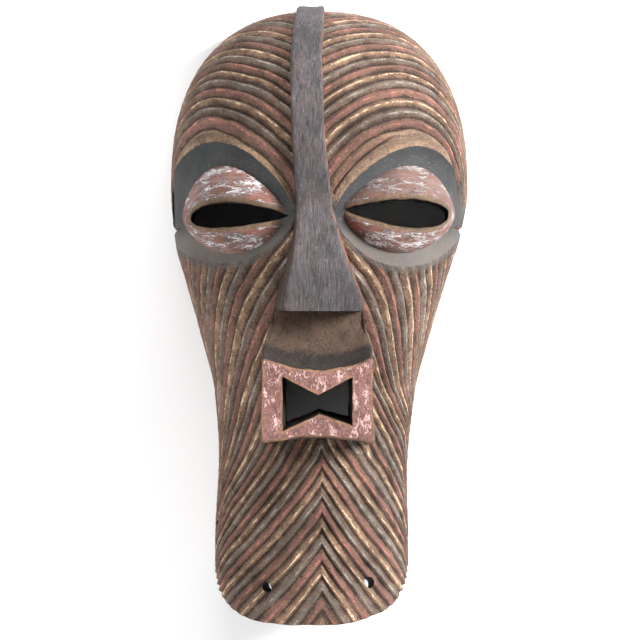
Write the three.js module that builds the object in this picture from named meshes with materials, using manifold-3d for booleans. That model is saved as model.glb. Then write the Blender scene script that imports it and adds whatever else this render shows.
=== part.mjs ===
// A carved wooden face mask of the kifwebe type, lying on its back rim.
// One block of wood: a half-tube shell with a domed crown, open behind and at the chin end,
// with a raised crest that widens into the nose, a block mouth, swollen eyelids with slits,
// and four burned tie holes along the lower edge.
// Millimetres. +X to the viewer's right, +Y to the crown, +Z out of the face, rim on z = 0.
import * as THREE from "three";
import { mergeVertices } from "three/addons/utils/BufferGeometryUtils.js";
import Module from "manifold-3d";

const wasm = await Module();
wasm.setup();

// Shell: the outline seen from the front, and how far the wood stands off the rim plane.
const BROW_Y = 100; // height of the widest section, where the dome begins
const BROW_HALF_WIDTH = 113.8;
const BROW_DEPTH = 138;
const DOME_RISE = 135.8; // from the widest section up to the crown
const SECTION_POWER = 2.4; // superellipse power of every section: a little fuller than a circle
const CHEEK_HALF_WIDTH = 99.1;
const MUZZLE_HALF_WIDTH = 77.1;
const WAIST_HALF_WIDTH = 72.5;
const JAW_HALF_WIDTH = 74.4;
const MUZZLE_DEPTH = 117;
const JAW_DEPTH = 111;
const JAW_LEAN = -6.3; // the jaw leans to the viewer's left
const WALL = 12;
const FRONT_WALL = 15;

// Chin end: the half-tube is open here, cut on a slant that runs up towards the rim.
const CHIN_Y = -222.5; // lowest point, at the front
const CHIN_CUT_RISE = 42; // how much higher the cut meets the rim
const CHIN_CUT_TILT = 0.018; // the lower edge climbs to the viewer's right
const CHIN_CUT_POWER = 1.25; // above 1 the cut steepens towards the rim

// Crest and nose: one flat-topped band from the back of the crown to the tip of the nose.
const CREST_WIDTH = 21.8;
const BRIDGE_WIDTH = 25.2;
const NOSE_WIDTH = 55.5;
const CREST_HEIGHT = 6.5; // above the shell at the forehead
const CROWN_CREST_HEIGHT = 4.1;
const NOSE_TIP_Y = 6.4;
const NOSE_TIP_Z = 160; // above the rim plane
const NOSE_LEFT_DRAFT = 7; // how much wider each flank stands at its root, at the tip
const NOSE_RIGHT_DRAFT = 2;
const CREST_BEVEL = 1.2; // worn off each upper edge of the crest
const CREST_ROOT_DEPTH = 8.25; // how far the crest's flanks are sunk into the shell
const CREST_ROOT_SPREAD = 0.5;

// Mouth block and the hollowed lip above it.
const MOUTH_X = -1.8;
const MOUTH_Y = -56.6;
const MOUTH_Z = 168; // its front above the rim plane
const MOUTH_HALF_WIDTH = 39;
const MOUTH_HALF_HEIGHT = 30.8;
const MOUTH_TOP_SAG = 9.8; // the upper edge dips in the middle
const MOUTH_BOTTOM_RISE = 4.6; // the lower edge lifts in the middle
const MOUTH_DRAFT = 3; // how much wider the block is at its root
const LIP_TOP_HALF_WIDTH = 32;
const LIP_TOP_Y = 8;
const LIP_TOP_RISE = 1.5; // above the shell under the nose
const MOUTH_BEVEL = 1.5; // worn off the edges of the block's front
const MOUTH_ROOT_DEPTH = 12; // how far the block is sunk into the shell

// The mouth's opening, a bow tie, from its centre.
const BOW_HALF_WIDTH = 24.8;
const BOW_TOP = 16.5;
const BOW_LEFT_BOTTOM = -22.2; // the lower edge is cut deeper on the viewer's left
const BOW_RIGHT_BOTTOM = -17.8;
const BOW_NECK_TOP = 3.6;
const BOW_NECK_BOTTOM = -10;
const BOW_BACK_SHARE = 0.86; // the opening narrows towards the back
const BOW_BACK_LIFT = 4; // and climbs, so that its lower walls show from the front
const BOW_BACK_DEPTH = 30; // how far behind the front of the muzzle the opening runs
const POCKET_DEPTH = 24; // the hollow is deeper behind the mouth block
const POCKET_HALF_WIDTH = 36;
const POCKET_HALF_HEIGHT = 32;

// Eyes: each runs from its inner to its outer corner. The lids rise to the brow and fall to the
// cheek from the line between the corners. The socket's sizes are margins past the lids, and part
// is the share of its length that lies on the face. The slit's inner and outer are how far inside
// the corners it ends, and drop is how far below that line its own line lies.
const EYES = [
  {
    inner: [-22.9, 78],
    outer: [-102.6, 76.5],
    lids: { up: 35, down: 30 },
    socket: { up: 20, down: 7.8, inner: 5, outer: 20, peak: 1.25, part: 0.905 },
    slit: { up: 10.9, down: 7.5, inner: 0, outer: 8.1, drop: 3.3 },
  },
  {
    inner: [14.2, 80],
    outer: [100.8, 77.8],
    lids: { up: 33.6, down: 30.7 },
    socket: { up: 16.2, down: 11.7, inner: 5, outer: 11, peak: 1.4, part: 1 },
    slit: { up: 8.9, down: 11.8, inner: 4, outer: 6.8, drop: 0.7 },
  },
];
const LID_BULGE = 15; // above the floor of the socket
const LID_PEAK_POWER = 1.35; // moves the lids' highest point towards the outer corner
const LID_CORNER_POWER = 0.6; // above 0.5 sharpens the corners
const LID_ROUND_POWER = 0.6; // the swelling: 0.5 is a round arch, more is a flatter one
const SOCKET_DEPTH = 6;
const SOCKET_CORNER_POWER = 0.5;
const SLIT_PEAK_POWER = 1.67;
const SLIT_CORNER_POWER = 0.42; // sharp inside, blunt outside
const SLIT_START_Z = 20; // the slits are cut from here forward

// Tie holes: a front pair near the lower edge, and a pair through the side walls.
const TIE_HOLE_RADIUS = 3.8;
const FRONT_TIE_HOLES = [
  { side: -39.2, rise: 27.5, slant: [-0.34, 0] }, // rise: above the lowest point of the chin
  { side: 36.3, rise: 30.5, slant: [0.26, 0.2] }, // slant: sideways travel for each step forward
];
const SIDE_TIE_RISE = 67.5; // above the lowest point of the chin
const SIDE_TIE_Z = 34;

// Mesh steps. The rim skirt is trimmed off at z = 0, so that the whole rim is one flat face.
const SKIRT = 6;
const CUT_START = 1.2; // how far above the wood a hollowing cut begins at its edge
const TUBE_END_Y = CHIN_Y - 16; // the tube is made longer, and trimmed by the chin cut
const HOLLOW_OVERRUN = 12; // the hollow runs on past the end of the tube
const CUT_MARGIN = 40; // how far past the wood a trimming cut reaches

// A smooth curve through [place, value] pairs, flat beyond its ends: cubic pieces whose slopes
// are averaged from their neighbours, and zero at a peak.
function curveThrough(pairs) {
  const rows = [...pairs].sort((a, b) => a[0] - b[0]);
  const steps = rows.slice(1).map(([x, v], i) => (v - rows[i][1]) / (x - rows[i][0]));
  const slopes = rows.map((_, i) => {
    if (i === 0 || i === rows.length - 1) return 0;
    const [before, after] = [steps[i - 1], steps[i]];
    return before * after <= 0 ? 0 : (2 * before * after) / (before + after);
  });
  return (x) => {
    if (x <= rows[0][0]) return rows[0][1];
    const last = rows.length - 1;
    if (x >= rows[last][0]) return rows[last][1];
    const i = rows.findIndex(([place]) => place > x) - 1;
    const span = rows[i + 1][0] - rows[i][0];
    const t = (x - rows[i][0]) / span;
    const bump = (1 - t) * (1 - t) * t * span * slopes[i] - t * t * (1 - t) * span * slopes[i + 1];
    return rows[i][1] + (rows[i + 1][1] - rows[i][1]) * t * t * (3 - 2 * t) + bump;
  };
}

const smoothStep = (low, high, x) => {
  const t = Math.min(1, Math.max(0, (x - low) / (high - low)));
  return t * t * (3 - 2 * t);
};

const halfWidthAt = curveThrough([
  [BROW_Y, BROW_HALF_WIDTH],
  [62, 0.96 * BROW_HALF_WIDTH],
  [27, CHEEK_HALF_WIDTH],
  [-19, (CHEEK_HALF_WIDTH + WAIST_HALF_WIDTH) / 2],
  [-54, MUZZLE_HALF_WIDTH],
  [-112, WAIST_HALF_WIDTH],
  [-170, JAW_HALF_WIDTH],
  [-240, JAW_HALF_WIDTH],
]);

const depthAt = curveThrough([
  [BROW_Y, BROW_DEPTH],
  [0, (BROW_DEPTH + MUZZLE_DEPTH) / 2 - 2],
  [MOUTH_Y, MUZZLE_DEPTH],
  [-180, JAW_DEPTH],
  [-240, JAW_DEPTH - 3],
]);

const centreAt = curveThrough([
  [BROW_Y, -0.5],
  [40, -3],
  [-60, -4],
  [-160, JAW_LEAN],
  [-240, JAW_LEAN],
]);

// The shell's surface is where this is zero: a superellipse section at each height below the
// brow, and a superellipsoid above it. inset moves the whole surface inwards for the hollow.
function shellLevel(x, y, z, inset, frontInset) {
  const p = SECTION_POWER;
  if (y > BROW_Y) {
    return (
      Math.abs((x - centreAt(BROW_Y)) / (BROW_HALF_WIDTH - inset)) ** p +
      ((y - BROW_Y) / (DOME_RISE - inset)) ** p +
      Math.abs(z / (BROW_DEPTH - frontInset)) ** p -
      1
    );
  }
  return (
    Math.abs((x - centreAt(y)) / (halfWidthAt(y) - inset)) ** p +
    Math.abs(z / (depthAt(y) - frontInset)) ** p -
    1
  );
}

function outwardNormal(x, y, z) {
  const e = 0.05;
  const level = (a, b, c) => shellLevel(a, b, c, 0, 0);
  return new THREE.Vector3(
    level(x + e, y, z) - level(x - e, y, z),
    level(x, y + e, z) - level(x, y - e, z),
    level(x, y, z + e) - level(x, y, z - e),
  ).normalize();
}

// One line of the shell from its spine (t = 0) out to the rim (t = 1). way is either
// { y, side } for a section of the half-tube or { turn } for a meridian of the dome.
function shellPoint(way, t, inset, frontInset) {
  const angle = (t * Math.PI) / 2;
  const out = Math.sin(angle) ** (2 / SECTION_POWER);
  const up = Math.cos(angle) ** (2 / SECTION_POWER);
  if (way.turn === undefined) {
    const x = centreAt(way.y) + way.side * (halfWidthAt(way.y) - inset) * out;
    return new THREE.Vector3(x, way.y, (depthAt(way.y) - frontInset) * up);
  }
  const across = Math.cos(way.turn);
  const along = Math.sin(way.turn);
  const x = Math.sign(across) * Math.abs(across) ** (2 / SECTION_POWER);
  const y = along ** (2 / SECTION_POWER);
  return new THREE.Vector3(
    centreAt(BROW_Y) + (BROW_HALF_WIDTH - inset) * x * out,
    BROW_Y + (DOME_RISE - inset) * y * out,
    (BROW_DEPTH - frontInset) * up,
  );
}

// Height of the plain shell over a point of the face.
function shellHeight(x, y) {
  const p = SECTION_POWER;
  const belowBrow = Math.min(y, BROW_Y);
  const across = Math.abs((x - centreAt(belowBrow)) / halfWidthAt(belowBrow)) ** p;
  const along = (Math.max(0, y - BROW_Y) / DOME_RISE) ** p;
  return depthAt(belowBrow) * Math.max(0, 1 - across - along) ** (1 / p);
}

// A carved step of a given height, measured square to the wood, as a step along Z.
function stepAt(x, y, height) {
  const z = shellHeight(x, y);
  return height / Math.max(0.5, outwardNormal(x, y, Math.max(z, 1)).z);
}

// Height of a lens above or below the line between its ends, as a share of its peak there.
function lensShare(lens, t, u) {
  const peak = u > 0 ? lens.upPeak : lens.downPeak;
  return Math.max(0.015, Math.sin(Math.PI * t ** peak)) ** lens.corner;
}

// A point of a lens round an eye: t runs from the inner to the outer end, u from its lower edge
// (-1) to its upper edge (1). Its ends lie past the eye's corners by lens.inner and lens.outer.
function lensPoint(eye, lens, t, u) {
  const along = new THREE.Vector2(eye.outer[0] - eye.inner[0], eye.outer[1] - eye.inner[1]);
  const travelled = -lens.inner + t * (along.length() + lens.inner + lens.outer);
  along.normalize();
  const side = Math.sign(along.x);
  const rise = u * lensShare(lens, t, u) * (u > 0 ? lens.up : lens.down) - lens.drop;
  return [
    eye.inner[0] + along.x * travelled - along.y * side * rise,
    eye.inner[1] + along.y * travelled + along.x * side * rise,
  ];
}

// A closed solid over a lens, between two heights that are given by functions of t and u, both
// measured square to the wood from the plain shell.
function lensSolid(eye, lens, floorAt, roofAt) {
  const across = stations(-1, 1, 1 / 6);
  const loops = stations(0, lens.part, lens.part / 16).map((t) => {
    const at = (u, height) => {
      const [x, y] = lensPoint(eye, lens, t, u);
      return new THREE.Vector3(x, y, shellHeight(x, y) + stepAt(x, y, height));
    };
    const floor = across.map((u) => at(u, floorAt(t, u)));
    const roof = across.map((u) => at(u, roofAt(t, u)));
    return [...roof.reverse(), ...floor];
  });
  if (eye.outer[0] < eye.inner[0]) loops.reverse();
  return solidOf(loft(loops));
}

// What is hollowed out round an eye: a bowl whose floor dips between its two edges.
function socketCut(eye) {
  const lens = {
    inner: eye.socket.inner,
    outer: eye.socket.outer,
    up: eye.lids.up + eye.socket.up,
    down: eye.lids.down + eye.socket.down,
    drop: 0,
    upPeak: eye.socket.peak,
    downPeak: 1,
    corner: SOCKET_CORNER_POWER,
    part: eye.socket.part,
  };
  const dip = SOCKET_DEPTH + CUT_START;
  const floor = (t, u) => CUT_START - dip * Math.max(0, 1 - u ** 4) * lensShare(lens, t, u);
  return lensSolid(eye, lens, floor, () => 2 * LID_BULGE);
}

// The swollen lids, rising from the floor of the socket.
function lids(eye) {
  const lens = {
    inner: 0,
    outer: 0,
    up: eye.lids.up,
    down: eye.lids.down,
    drop: 0,
    upPeak: LID_PEAK_POWER,
    downPeak: 1,
    corner: LID_CORNER_POWER,
    part: 1,
  };
  const roof = (t, u) => {
    const swell = Math.max(0, 1 - u * u) ** LID_ROUND_POWER * lensShare(lens, t, 1) ** 0.7;
    return (LID_BULGE + SOCKET_DEPTH) * swell - SOCKET_DEPTH;
  };
  return lensSolid(eye, lens, () => -FRONT_WALL + 1, roof);
}

function solidOf(geometry) {
  const bare = new THREE.BufferGeometry()
    .setAttribute("position", geometry.getAttribute("position"))
    .setIndex(geometry.index);
  const merged = mergeVertices(bare, 1e-3);
  return new wasm.Manifold(
    new wasm.Mesh({
      numProp: 3,
      vertProperties: new Float32Array(merged.attributes.position.array),
      triVerts: new Uint32Array(merged.index.array),
    }),
  );
}

function geometryOf(solid) {
  const mesh = solid.getMesh();
  const positions = new Float32Array(mesh.numVert * 3);
  for (let i = 0; i < mesh.numVert; i++) {
    const from = i * mesh.numProp;
    positions.set(mesh.vertProperties.subarray(from, from + 3), i * 3);
  }
  return new THREE.BufferGeometry()
    .setAttribute("position", new THREE.BufferAttribute(positions, 3))
    .setIndex(new THREE.BufferAttribute(mesh.triVerts, 1));
}

// A closed mesh from rows of points: faces between neighbouring rows, and a fan from each
// open end or edge to apex. Rows run from the left side over the crown to the right side.
function closedFromRows(rows, apex) {
  const points = rows.flat();
  const columns = rows[0].length;
  const index = [];
  for (let i = 0; i + 1 < rows.length; i++) {
    for (let j = 0; j + 1 < columns; j++) {
      const a = i * columns + j;
      const b = a + columns;
      index.push(a, b + 1, a + 1, a, b, b + 1);
    }
  }
  const apexIndex = points.length;
  const lastRow = (rows.length - 1) * columns;
  for (let j = 0; j + 1 < columns; j++) {
    index.push(apexIndex, j, j + 1);
    index.push(apexIndex, lastRow + j + 1, lastRow + j);
  }
  for (let i = 0; i + 1 < rows.length; i++) {
    const a = i * columns + columns - 1;
    index.push(apexIndex, a, a + columns);
  }
  const geometry = new THREE.BufferGeometry().setFromPoints([...points, apex]);
  return geometry.setIndex(index);
}

// Even stations from low to high, about a step apart.
function stations(low, high, step) {
  const count = Math.max(1, Math.round((high - low) / step));
  return Array.from({ length: count + 1 }, (_, i) => low + ((high - low) * i) / count);
}

// The ways from the spine to the rim: up one side, round the crown and down the other side.
function waysRound(heights, turns) {
  const left = heights.map((y) => ({ y, side: -1 }));
  const crown = turns.slice(1, -1).map((turn) => ({ turn: Math.PI - turn }));
  const right = [...heights].reverse().map((y) => ({ y, side: 1 }));
  return [...left, ...crown, ...right];
}

function outerShell() {
  const heights = stations(TUBE_END_Y, BROW_Y, 11.5);
  const turns = stations(0, Math.PI, Math.PI / 34);
  const shares = stations(0, 1, 1 / 22);
  const rows = waysRound(heights, turns).map((way) => {
    const row = shares.map((t) => shellPoint(way, t, 0, 0));
    const rim = row.at(-1);
    return [...row, new THREE.Vector3(rim.x, rim.y, -SKIRT)];
  });
  return solidOf(closedFromRows(rows, new THREE.Vector3(centreAt(TUBE_END_Y), TUBE_END_Y, -SKIRT)));
}

// The hollow behind the face, deeper behind the mouth block, running out at the chin end.
function hollow() {
  const endY = TUBE_END_Y - HOLLOW_OVERRUN;
  const heights = stations(endY, BROW_Y, 13);
  const turns = stations(0, Math.PI, Math.PI / 24);
  const shares = stations(0, 1, 1 / 13);
  const rows = waysRound(heights, turns).map((way) => {
    const row = shares.map((t) => {
      const p = shellPoint(way, t, WALL, FRONT_WALL);
      const away = Math.hypot((p.x - MOUTH_X) / POCKET_HALF_WIDTH, (p.y - MOUTH_Y) / POCKET_HALF_HEIGHT);
      p.z += POCKET_DEPTH * Math.exp(-(away ** 4)) * (1 - t);
      return p;
    });
    const rim = row.at(-1);
    return [...row, new THREE.Vector3(rim.x, rim.y, -SKIRT - 2)];
  });
  return solidOf(closedFromRows(rows, new THREE.Vector3(centreAt(endY), endY, -SKIRT - 2)));
}

// The crest's path over the crown and down the face: foot is the shell's spine, lean moves it
// sideways, and each station gives the band's width, its height and how far its flanks spread.
const crestLeanAt = curveThrough([
  [DOME_RISE + BROW_Y, -6.9],
  [190, -9.8],
  [145, -8.9],
  [60, -2],
  [NOSE_TIP_Y, 1.9],
]);

const crestWidthAt = curveThrough([
  [DOME_RISE + BROW_Y, CREST_WIDTH - 1.4],
  [190, CREST_WIDTH],
  [BROW_Y, 0.4 * CREST_WIDTH + 0.6 * BRIDGE_WIDTH],
  [82, BRIDGE_WIDTH],
  [44, (BRIDGE_WIDTH + NOSE_WIDTH) / 2 - 3],
  [NOSE_TIP_Y, NOSE_WIDTH],
]);

const crestHeightAt = curveThrough([
  [DOME_RISE + BROW_Y, CROWN_CREST_HEIGHT],
  [190, CREST_HEIGHT],
  [BROW_Y, CREST_HEIGHT + 1.5],
  [NOSE_TIP_Y, NOSE_TIP_Z - depthAt(NOSE_TIP_Y)],
]);

function crestStation(foot, normal) {
  const half = crestWidthAt(foot.y) / 2;
  const height = crestHeightAt(foot.y);
  const widening = smoothStep(BROW_Y, NOSE_TIP_Y, foot.y);
  const x = crestLeanAt(foot.y);
  const at = (dx, rise) => foot.clone().setX(x + dx).addScaledVector(normal, rise);
  return [
    at(half + NOSE_RIGHT_DRAFT * widening + CREST_ROOT_SPREAD, -CREST_ROOT_DEPTH),
    at(half, height - CREST_BEVEL),
    at(half - CREST_BEVEL, height),
    at(-half + CREST_BEVEL, height),
    at(-half, height - CREST_BEVEL),
    at(-half - NOSE_LEFT_DRAFT * widening - CREST_ROOT_SPREAD, -CREST_ROOT_DEPTH),
  ];
}

function crest() {
  const overCrown = stations(0, 1, 1 / 14).map((t) => {
    const p = shellPoint({ turn: Math.PI / 2 }, 1 - t, 0, 0);
    return { foot: p, normal: outwardNormal(p.x, p.y, Math.max(p.z, 0.2)) };
  });
  const downFace = stations(-BROW_Y, -NOSE_TIP_Y, 12).slice(1).map((down) => {
    const foot = new THREE.Vector3(0, -down, depthAt(-down));
    return { foot, normal: new THREE.Vector3(0, 0, 1) };
  });
  const back = new THREE.Vector3(0, DOME_RISE + BROW_Y, -SKIRT);
  const path = [{ foot: back, normal: new THREE.Vector3(0, 1, 0) }, ...overCrown, ...downFace];
  const loops = path.map(({ foot, normal }) => crestStation(foot, normal));
  return solidOf(loft(loops));
}

// Closed loops joined one to the next, with a flat end at each side.
function loft(loops) {
  const points = loops.flat();
  const count = loops[0].length;
  const index = [];
  for (let i = 0; i + 1 < loops.length; i++) {
    for (let j = 0; j < count; j++) {
      const a = i * count + j;
      const b = i * count + ((j + 1) % count);
      index.push(a, b, b + count, a, b + count, a + count);
    }
  }
  const last = (loops.length - 1) * count;
  for (let j = 1; j + 1 < count; j++) {
    index.push(0, j + 1, j);
    index.push(last, last + j, last + j + 1);
  }
  return new THREE.BufferGeometry().setFromPoints(points).setIndex(index);
}

// The mouth block with the hollowed lip above it: its side profile carried across the face.
function mouthBlock() {
  const root = MUZZLE_DEPTH - MOUTH_ROOT_DEPTH;
  const lipStart = depthAt(LIP_TOP_Y) + LIP_TOP_RISE;
  const top = MOUTH_Y + MOUTH_HALF_HEIGHT;
  const bottom = MOUTH_Y - MOUTH_HALF_HEIGHT;
  const lip = stations(0, 1, 1 / 6).map((t) => {
    const angle = (t * Math.PI) / 2;
    const y = LIP_TOP_Y + (top - LIP_TOP_Y) * Math.sin(angle);
    return [y, lipStart + (MOUTH_Z - MOUTH_BEVEL - lipStart) * (1 - Math.cos(angle))];
  });
  const profile = [
    [LIP_TOP_Y, root],
    ...lip,
    [top - MOUTH_BEVEL, MOUTH_Z],
    [bottom + MOUTH_BEVEL, MOUTH_Z],
    [bottom, MOUTH_Z - MOUTH_BEVEL],
    [bottom - MOUTH_DRAFT, root],
  ];
  const shares = stations(-1, 1, 1 / 5);
  const loops = shares.map((share) =>
    profile.map(([y, z]) => {
      const deep = (MOUTH_Z - z) / (MOUTH_Z - root);
      const narrowing = smoothStep(top, LIP_TOP_Y, y);
      const half =
        (MOUTH_HALF_WIDTH + MOUTH_DRAFT * deep) * (1 - narrowing) + LIP_TOP_HALF_WIDTH * narrowing;
      const bow = 1 - share * share;
      const sag = MOUTH_TOP_SAG * bow * smoothStep(LIP_TOP_Y, top, y) * (y > MOUTH_Y ? 1 : 0);
      const lift = y < MOUTH_Y ? MOUTH_BOTTOM_RISE * bow : 0;
      return new THREE.Vector3(MOUTH_X + half * share, y - sag + lift, z);
    }),
  );
  return solidOf(loft(loops));
}

// A prism with an outline given in x and y, from a back loop to a front loop: each loop has a
// centre [x, y, z] and a scale.
function prism(outline, back, front) {
  const points = [back, front].flatMap(({ centre, scale }) =>
    outline.map(([x, y]) => new THREE.Vector3(centre[0] + x * scale, centre[1] + y * scale, centre[2])),
  );
  const count = outline.length;
  const flat = outline.map(([x, y]) => new THREE.Vector2(x, y));
  const faces = THREE.ShapeUtils.triangulateShape(flat, []);
  const index = [];
  for (const [a, b, c] of faces) {
    index.push(a, c, b);
    index.push(a + count, b + count, c + count);
  }
  for (let j = 0; j < count; j++) {
    const next = (j + 1) % count;
    index.push(j, next, next + count, j, next + count, j + count);
  }
  return solidOf(new THREE.BufferGeometry().setFromPoints(points).setIndex(index));
}

function bowTie() {
  const w = BOW_HALF_WIDTH;
  const outline = [
    [-w, BOW_LEFT_BOTTOM],
    [0, BOW_NECK_BOTTOM],
    [w, BOW_RIGHT_BOTTOM],
    [w, BOW_TOP],
    [0, BOW_NECK_TOP],
    [-w, BOW_TOP],
  ];
  return prism(
    outline,
    { centre: [MOUTH_X, MOUTH_Y + BOW_BACK_LIFT, MUZZLE_DEPTH - BOW_BACK_DEPTH], scale: BOW_BACK_SHARE },
    { centre: [MOUTH_X, MOUTH_Y, MOUTH_Z + 1], scale: 1 },
  );
}

function eyeSlit(eye) {
  const lens = {
    inner: -eye.slit.inner,
    outer: -eye.slit.outer,
    up: eye.slit.up,
    down: eye.slit.down,
    drop: eye.slit.drop,
    upPeak: SLIT_PEAK_POWER,
    downPeak: SLIT_PEAK_POWER,
    corner: SLIT_CORNER_POWER,
  };
  const shares = stations(0, 1, 1 / 12).map((t) => (1 - Math.cos(Math.PI * t)) / 2);
  const edge = (u) => shares.map((t) => lensPoint(eye, lens, t, u));
  const outline = [...edge(-1), ...edge(1).reverse().slice(1, -1)];
  if (eye.outer[0] < eye.inner[0]) outline.reverse();
  return prism(
    outline,
    { centre: [0, 0, SLIT_START_Z], scale: 1 },
    { centre: [0, 0, BROW_DEPTH + 2 * LID_BULGE], scale: 1 },
  );
}

// A straight round bore through the wood at a point, along a direction.
function tieHole(point, direction) {
  const length = 4 * FRONT_WALL;
  const bore = new THREE.CylinderGeometry(TIE_HOLE_RADIUS, TIE_HOLE_RADIUS, length, 12);
  bore.applyQuaternion(new THREE.Quaternion().setFromUnitVectors(new THREE.Vector3(0, 1, 0), direction));
  bore.translate(point.x, point.y, point.z);
  return solidOf(bore);
}

function tieHoles() {
  const front = FRONT_TIE_HOLES.map(({ side, rise, slant }) => {
    const y = CHIN_Y + rise;
    const direction = new THREE.Vector3(...slant, 1).normalize();
    return tieHole(new THREE.Vector3(side, y, shellHeight(side, y)), direction);
  });
  const sideY = CHIN_Y + SIDE_TIE_RISE;
  const sides = [-1, 1].map((side) => {
    const x = centreAt(sideY) + side * halfWidthAt(sideY);
    return tieHole(new THREE.Vector3(x, sideY, SIDE_TIE_Z), new THREE.Vector3(side, 0, 0));
  });
  return [...front, ...sides];
}

// Everything below the slanted chin cut: a profile in y and z carried across the face.
function chinCut() {
  const across = 2 * BROW_HALF_WIDTH;
  const cutY = (z, x) => {
    const behind = 1 - Math.min(1, Math.max(0, z) / JAW_DEPTH);
    return CHIN_Y + CHIN_CUT_RISE * behind ** CHIN_CUT_POWER + CHIN_CUT_TILT * x;
  };
  const front = JAW_DEPTH + CUT_MARGIN;
  const back = -3 * SKIRT;
  const below = CHIN_Y - 2 * CUT_MARGIN;
  const edge = stations(back, front, 14);
  const loops = [-across, across].map((x) => [
    ...edge.map((z) => new THREE.Vector3(x, cutY(z, x), z)),
    new THREE.Vector3(x, below, front),
    new THREE.Vector3(x, below, back),
  ]);
  const count = loops[0].length;
  const outline = loops[0].map((p) => new THREE.Vector2(p.y, p.z));
  const index = [];
  for (const [a, b, c] of THREE.ShapeUtils.triangulateShape(outline, [])) {
    index.push(a, c, b);
    index.push(a + count, b + count, c + count);
  }
  for (let j = 0; j < count; j++) {
    const next = (j + 1) % count;
    index.push(j, next + count, j + count, j, next, next + count);
  }
  return solidOf(new THREE.BufferGeometry().setFromPoints(loops.flat()).setIndex(index));
}

function belowRim() {
  const size = 4 * DOME_RISE;
  return solidOf(new THREE.BoxGeometry(size, size, CUT_MARGIN).translate(0, 0, -CUT_MARGIN / 2));
}

function carve() {
  const sockets = EYES.map(socketCut);
  const added = [...EYES.map(lids), crest(), mouthBlock()];
  const cut = [
    hollow(),
    bowTie(),
    ...EYES.map(eyeSlit),
    ...tieHoles(),
    chinCut(),
    belowRim(),
  ];
  let block = outerShell();
  for (const piece of sockets) block = block.subtract(piece);
  for (const piece of added) block = block.add(piece);
  for (const piece of cut) block = block.subtract(piece);
  return block;
}

const mask = new THREE.Mesh(
  geometryOf(carve()),
  new THREE.MeshStandardMaterial({ color: 0x6d5646, roughness: 0.8, metalness: 0 }),
);
mask.name = "mask";
mask.geometry.computeBoundingBox();
const box = mask.geometry.boundingBox;
mask.position.set(-(box.min.x + box.max.x) / 2, -(box.min.y + box.max.y) / 2, -box.min.z);

const work = new THREE.Group();
work.add(mask);
export default work;
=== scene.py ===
"""A tall carved and painted wooden face mask of the kifwebe type, lying on its back rim.

The mask is hewn from one block: a half-tube shell with a domed crown, a flat-topped crest that widens
into the nose, sunk sockets with swollen lids and slit eyes, a block mouth with a bow-tie opening, and
ridges that run over the whole face, painted in turn cream, red and grey. Every part of the block is
worked out as a closed numpy surface in millimetres in the carving's own frame, the parts are joined and
cut as solids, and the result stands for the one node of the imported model.
"""

import logging
from collections.abc import Callable
from dataclasses import dataclass, field
from enum import Enum

import bpy
import numpy as np
from mathutils import Matrix, Vector


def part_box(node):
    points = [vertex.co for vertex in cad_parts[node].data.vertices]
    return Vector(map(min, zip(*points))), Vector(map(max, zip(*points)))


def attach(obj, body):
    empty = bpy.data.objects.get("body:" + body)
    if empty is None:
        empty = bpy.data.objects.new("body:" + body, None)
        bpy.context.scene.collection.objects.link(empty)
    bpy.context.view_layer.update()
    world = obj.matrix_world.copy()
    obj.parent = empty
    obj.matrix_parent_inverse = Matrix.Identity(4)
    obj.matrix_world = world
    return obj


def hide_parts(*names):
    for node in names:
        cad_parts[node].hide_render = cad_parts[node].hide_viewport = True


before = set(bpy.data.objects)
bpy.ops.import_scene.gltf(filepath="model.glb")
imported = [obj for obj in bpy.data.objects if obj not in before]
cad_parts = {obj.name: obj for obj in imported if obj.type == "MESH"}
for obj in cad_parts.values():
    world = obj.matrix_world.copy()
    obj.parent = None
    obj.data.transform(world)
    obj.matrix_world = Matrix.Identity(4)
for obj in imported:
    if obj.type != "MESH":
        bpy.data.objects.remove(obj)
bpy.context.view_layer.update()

LOG = logging.getLogger("mask")
Array = np.ndarray
Socket = bpy.types.NodeSocket
Pairs = tuple[tuple[float, float], ...]
Height = Callable[[Array, Array], Array]
MM = 0.001
SKIRT = 6.0  # how far the wood runs below the rim plane before the rim is trimmed flat
PHASE_SCALE = 100.0  # the carving map holds ridge counts and millimetres divided by this
CHEEK_PHASE = 42.0  # added to the ridge count of the cheeks, so that it can be told from the forehead's


def linear(red: int, green: int, blue: int) -> tuple[float, float, float, float]:
    """A colour given as three 0 to 255 screen values, as the linear colour a shader takes."""
    share = np.array([red, green, blue]) / 255.0
    low, high = share / 12.92, ((share + 0.055) / 1.055) ** 2.4
    return (*np.where(share <= 0.04045, low, high).tolist(), 1.0)


def smooth_step(low: float, high: float, value: Array) -> Array:
    """0 below low and 1 above high, with 3t^2 - 2t^3 between; low may be the larger."""
    t = np.clip((value - low) / (high - low), 0.0, 1.0)
    return t * t * (3 - 2 * t)


def curve_through(pairs: Pairs) -> Callable[[Array], Array]:
    """A smooth curve through points, flat beyond its ends.

    Each span is the cubic with the given end values, and end slopes that are the harmonic mean of the
    neighbouring spans' slopes, or zero at a peak.

    Args:
        pairs: places and the values there, in any order.
    Returns:
        A function from places to values, over whole arrays.
    """
    places, values = np.array(sorted(pairs), float).T
    steps = np.diff(values) / np.diff(places)
    before, after = steps[:-1], steps[1:]
    same = before * after > 0
    slopes = np.zeros(len(places))
    slopes[1:-1][same] = 2 * before[same] * after[same] / (before[same] + after[same])

    def at(place: Array) -> Array:
        """The curve's values at these places."""
        x = np.clip(np.asarray(place, float), places[0], places[-1])
        i = np.clip(np.searchsorted(places, x, side="right") - 1, 0, len(places) - 2)
        span = places[i + 1] - places[i]
        t = (x - places[i]) / span
        bump = (1 - t) ** 2 * t * span * slopes[i] - t * t * (1 - t) * span * slopes[i + 1]
        return values[i] + (values[i + 1] - values[i]) * t * t * (3 - 2 * t) + bump

    return at


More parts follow.
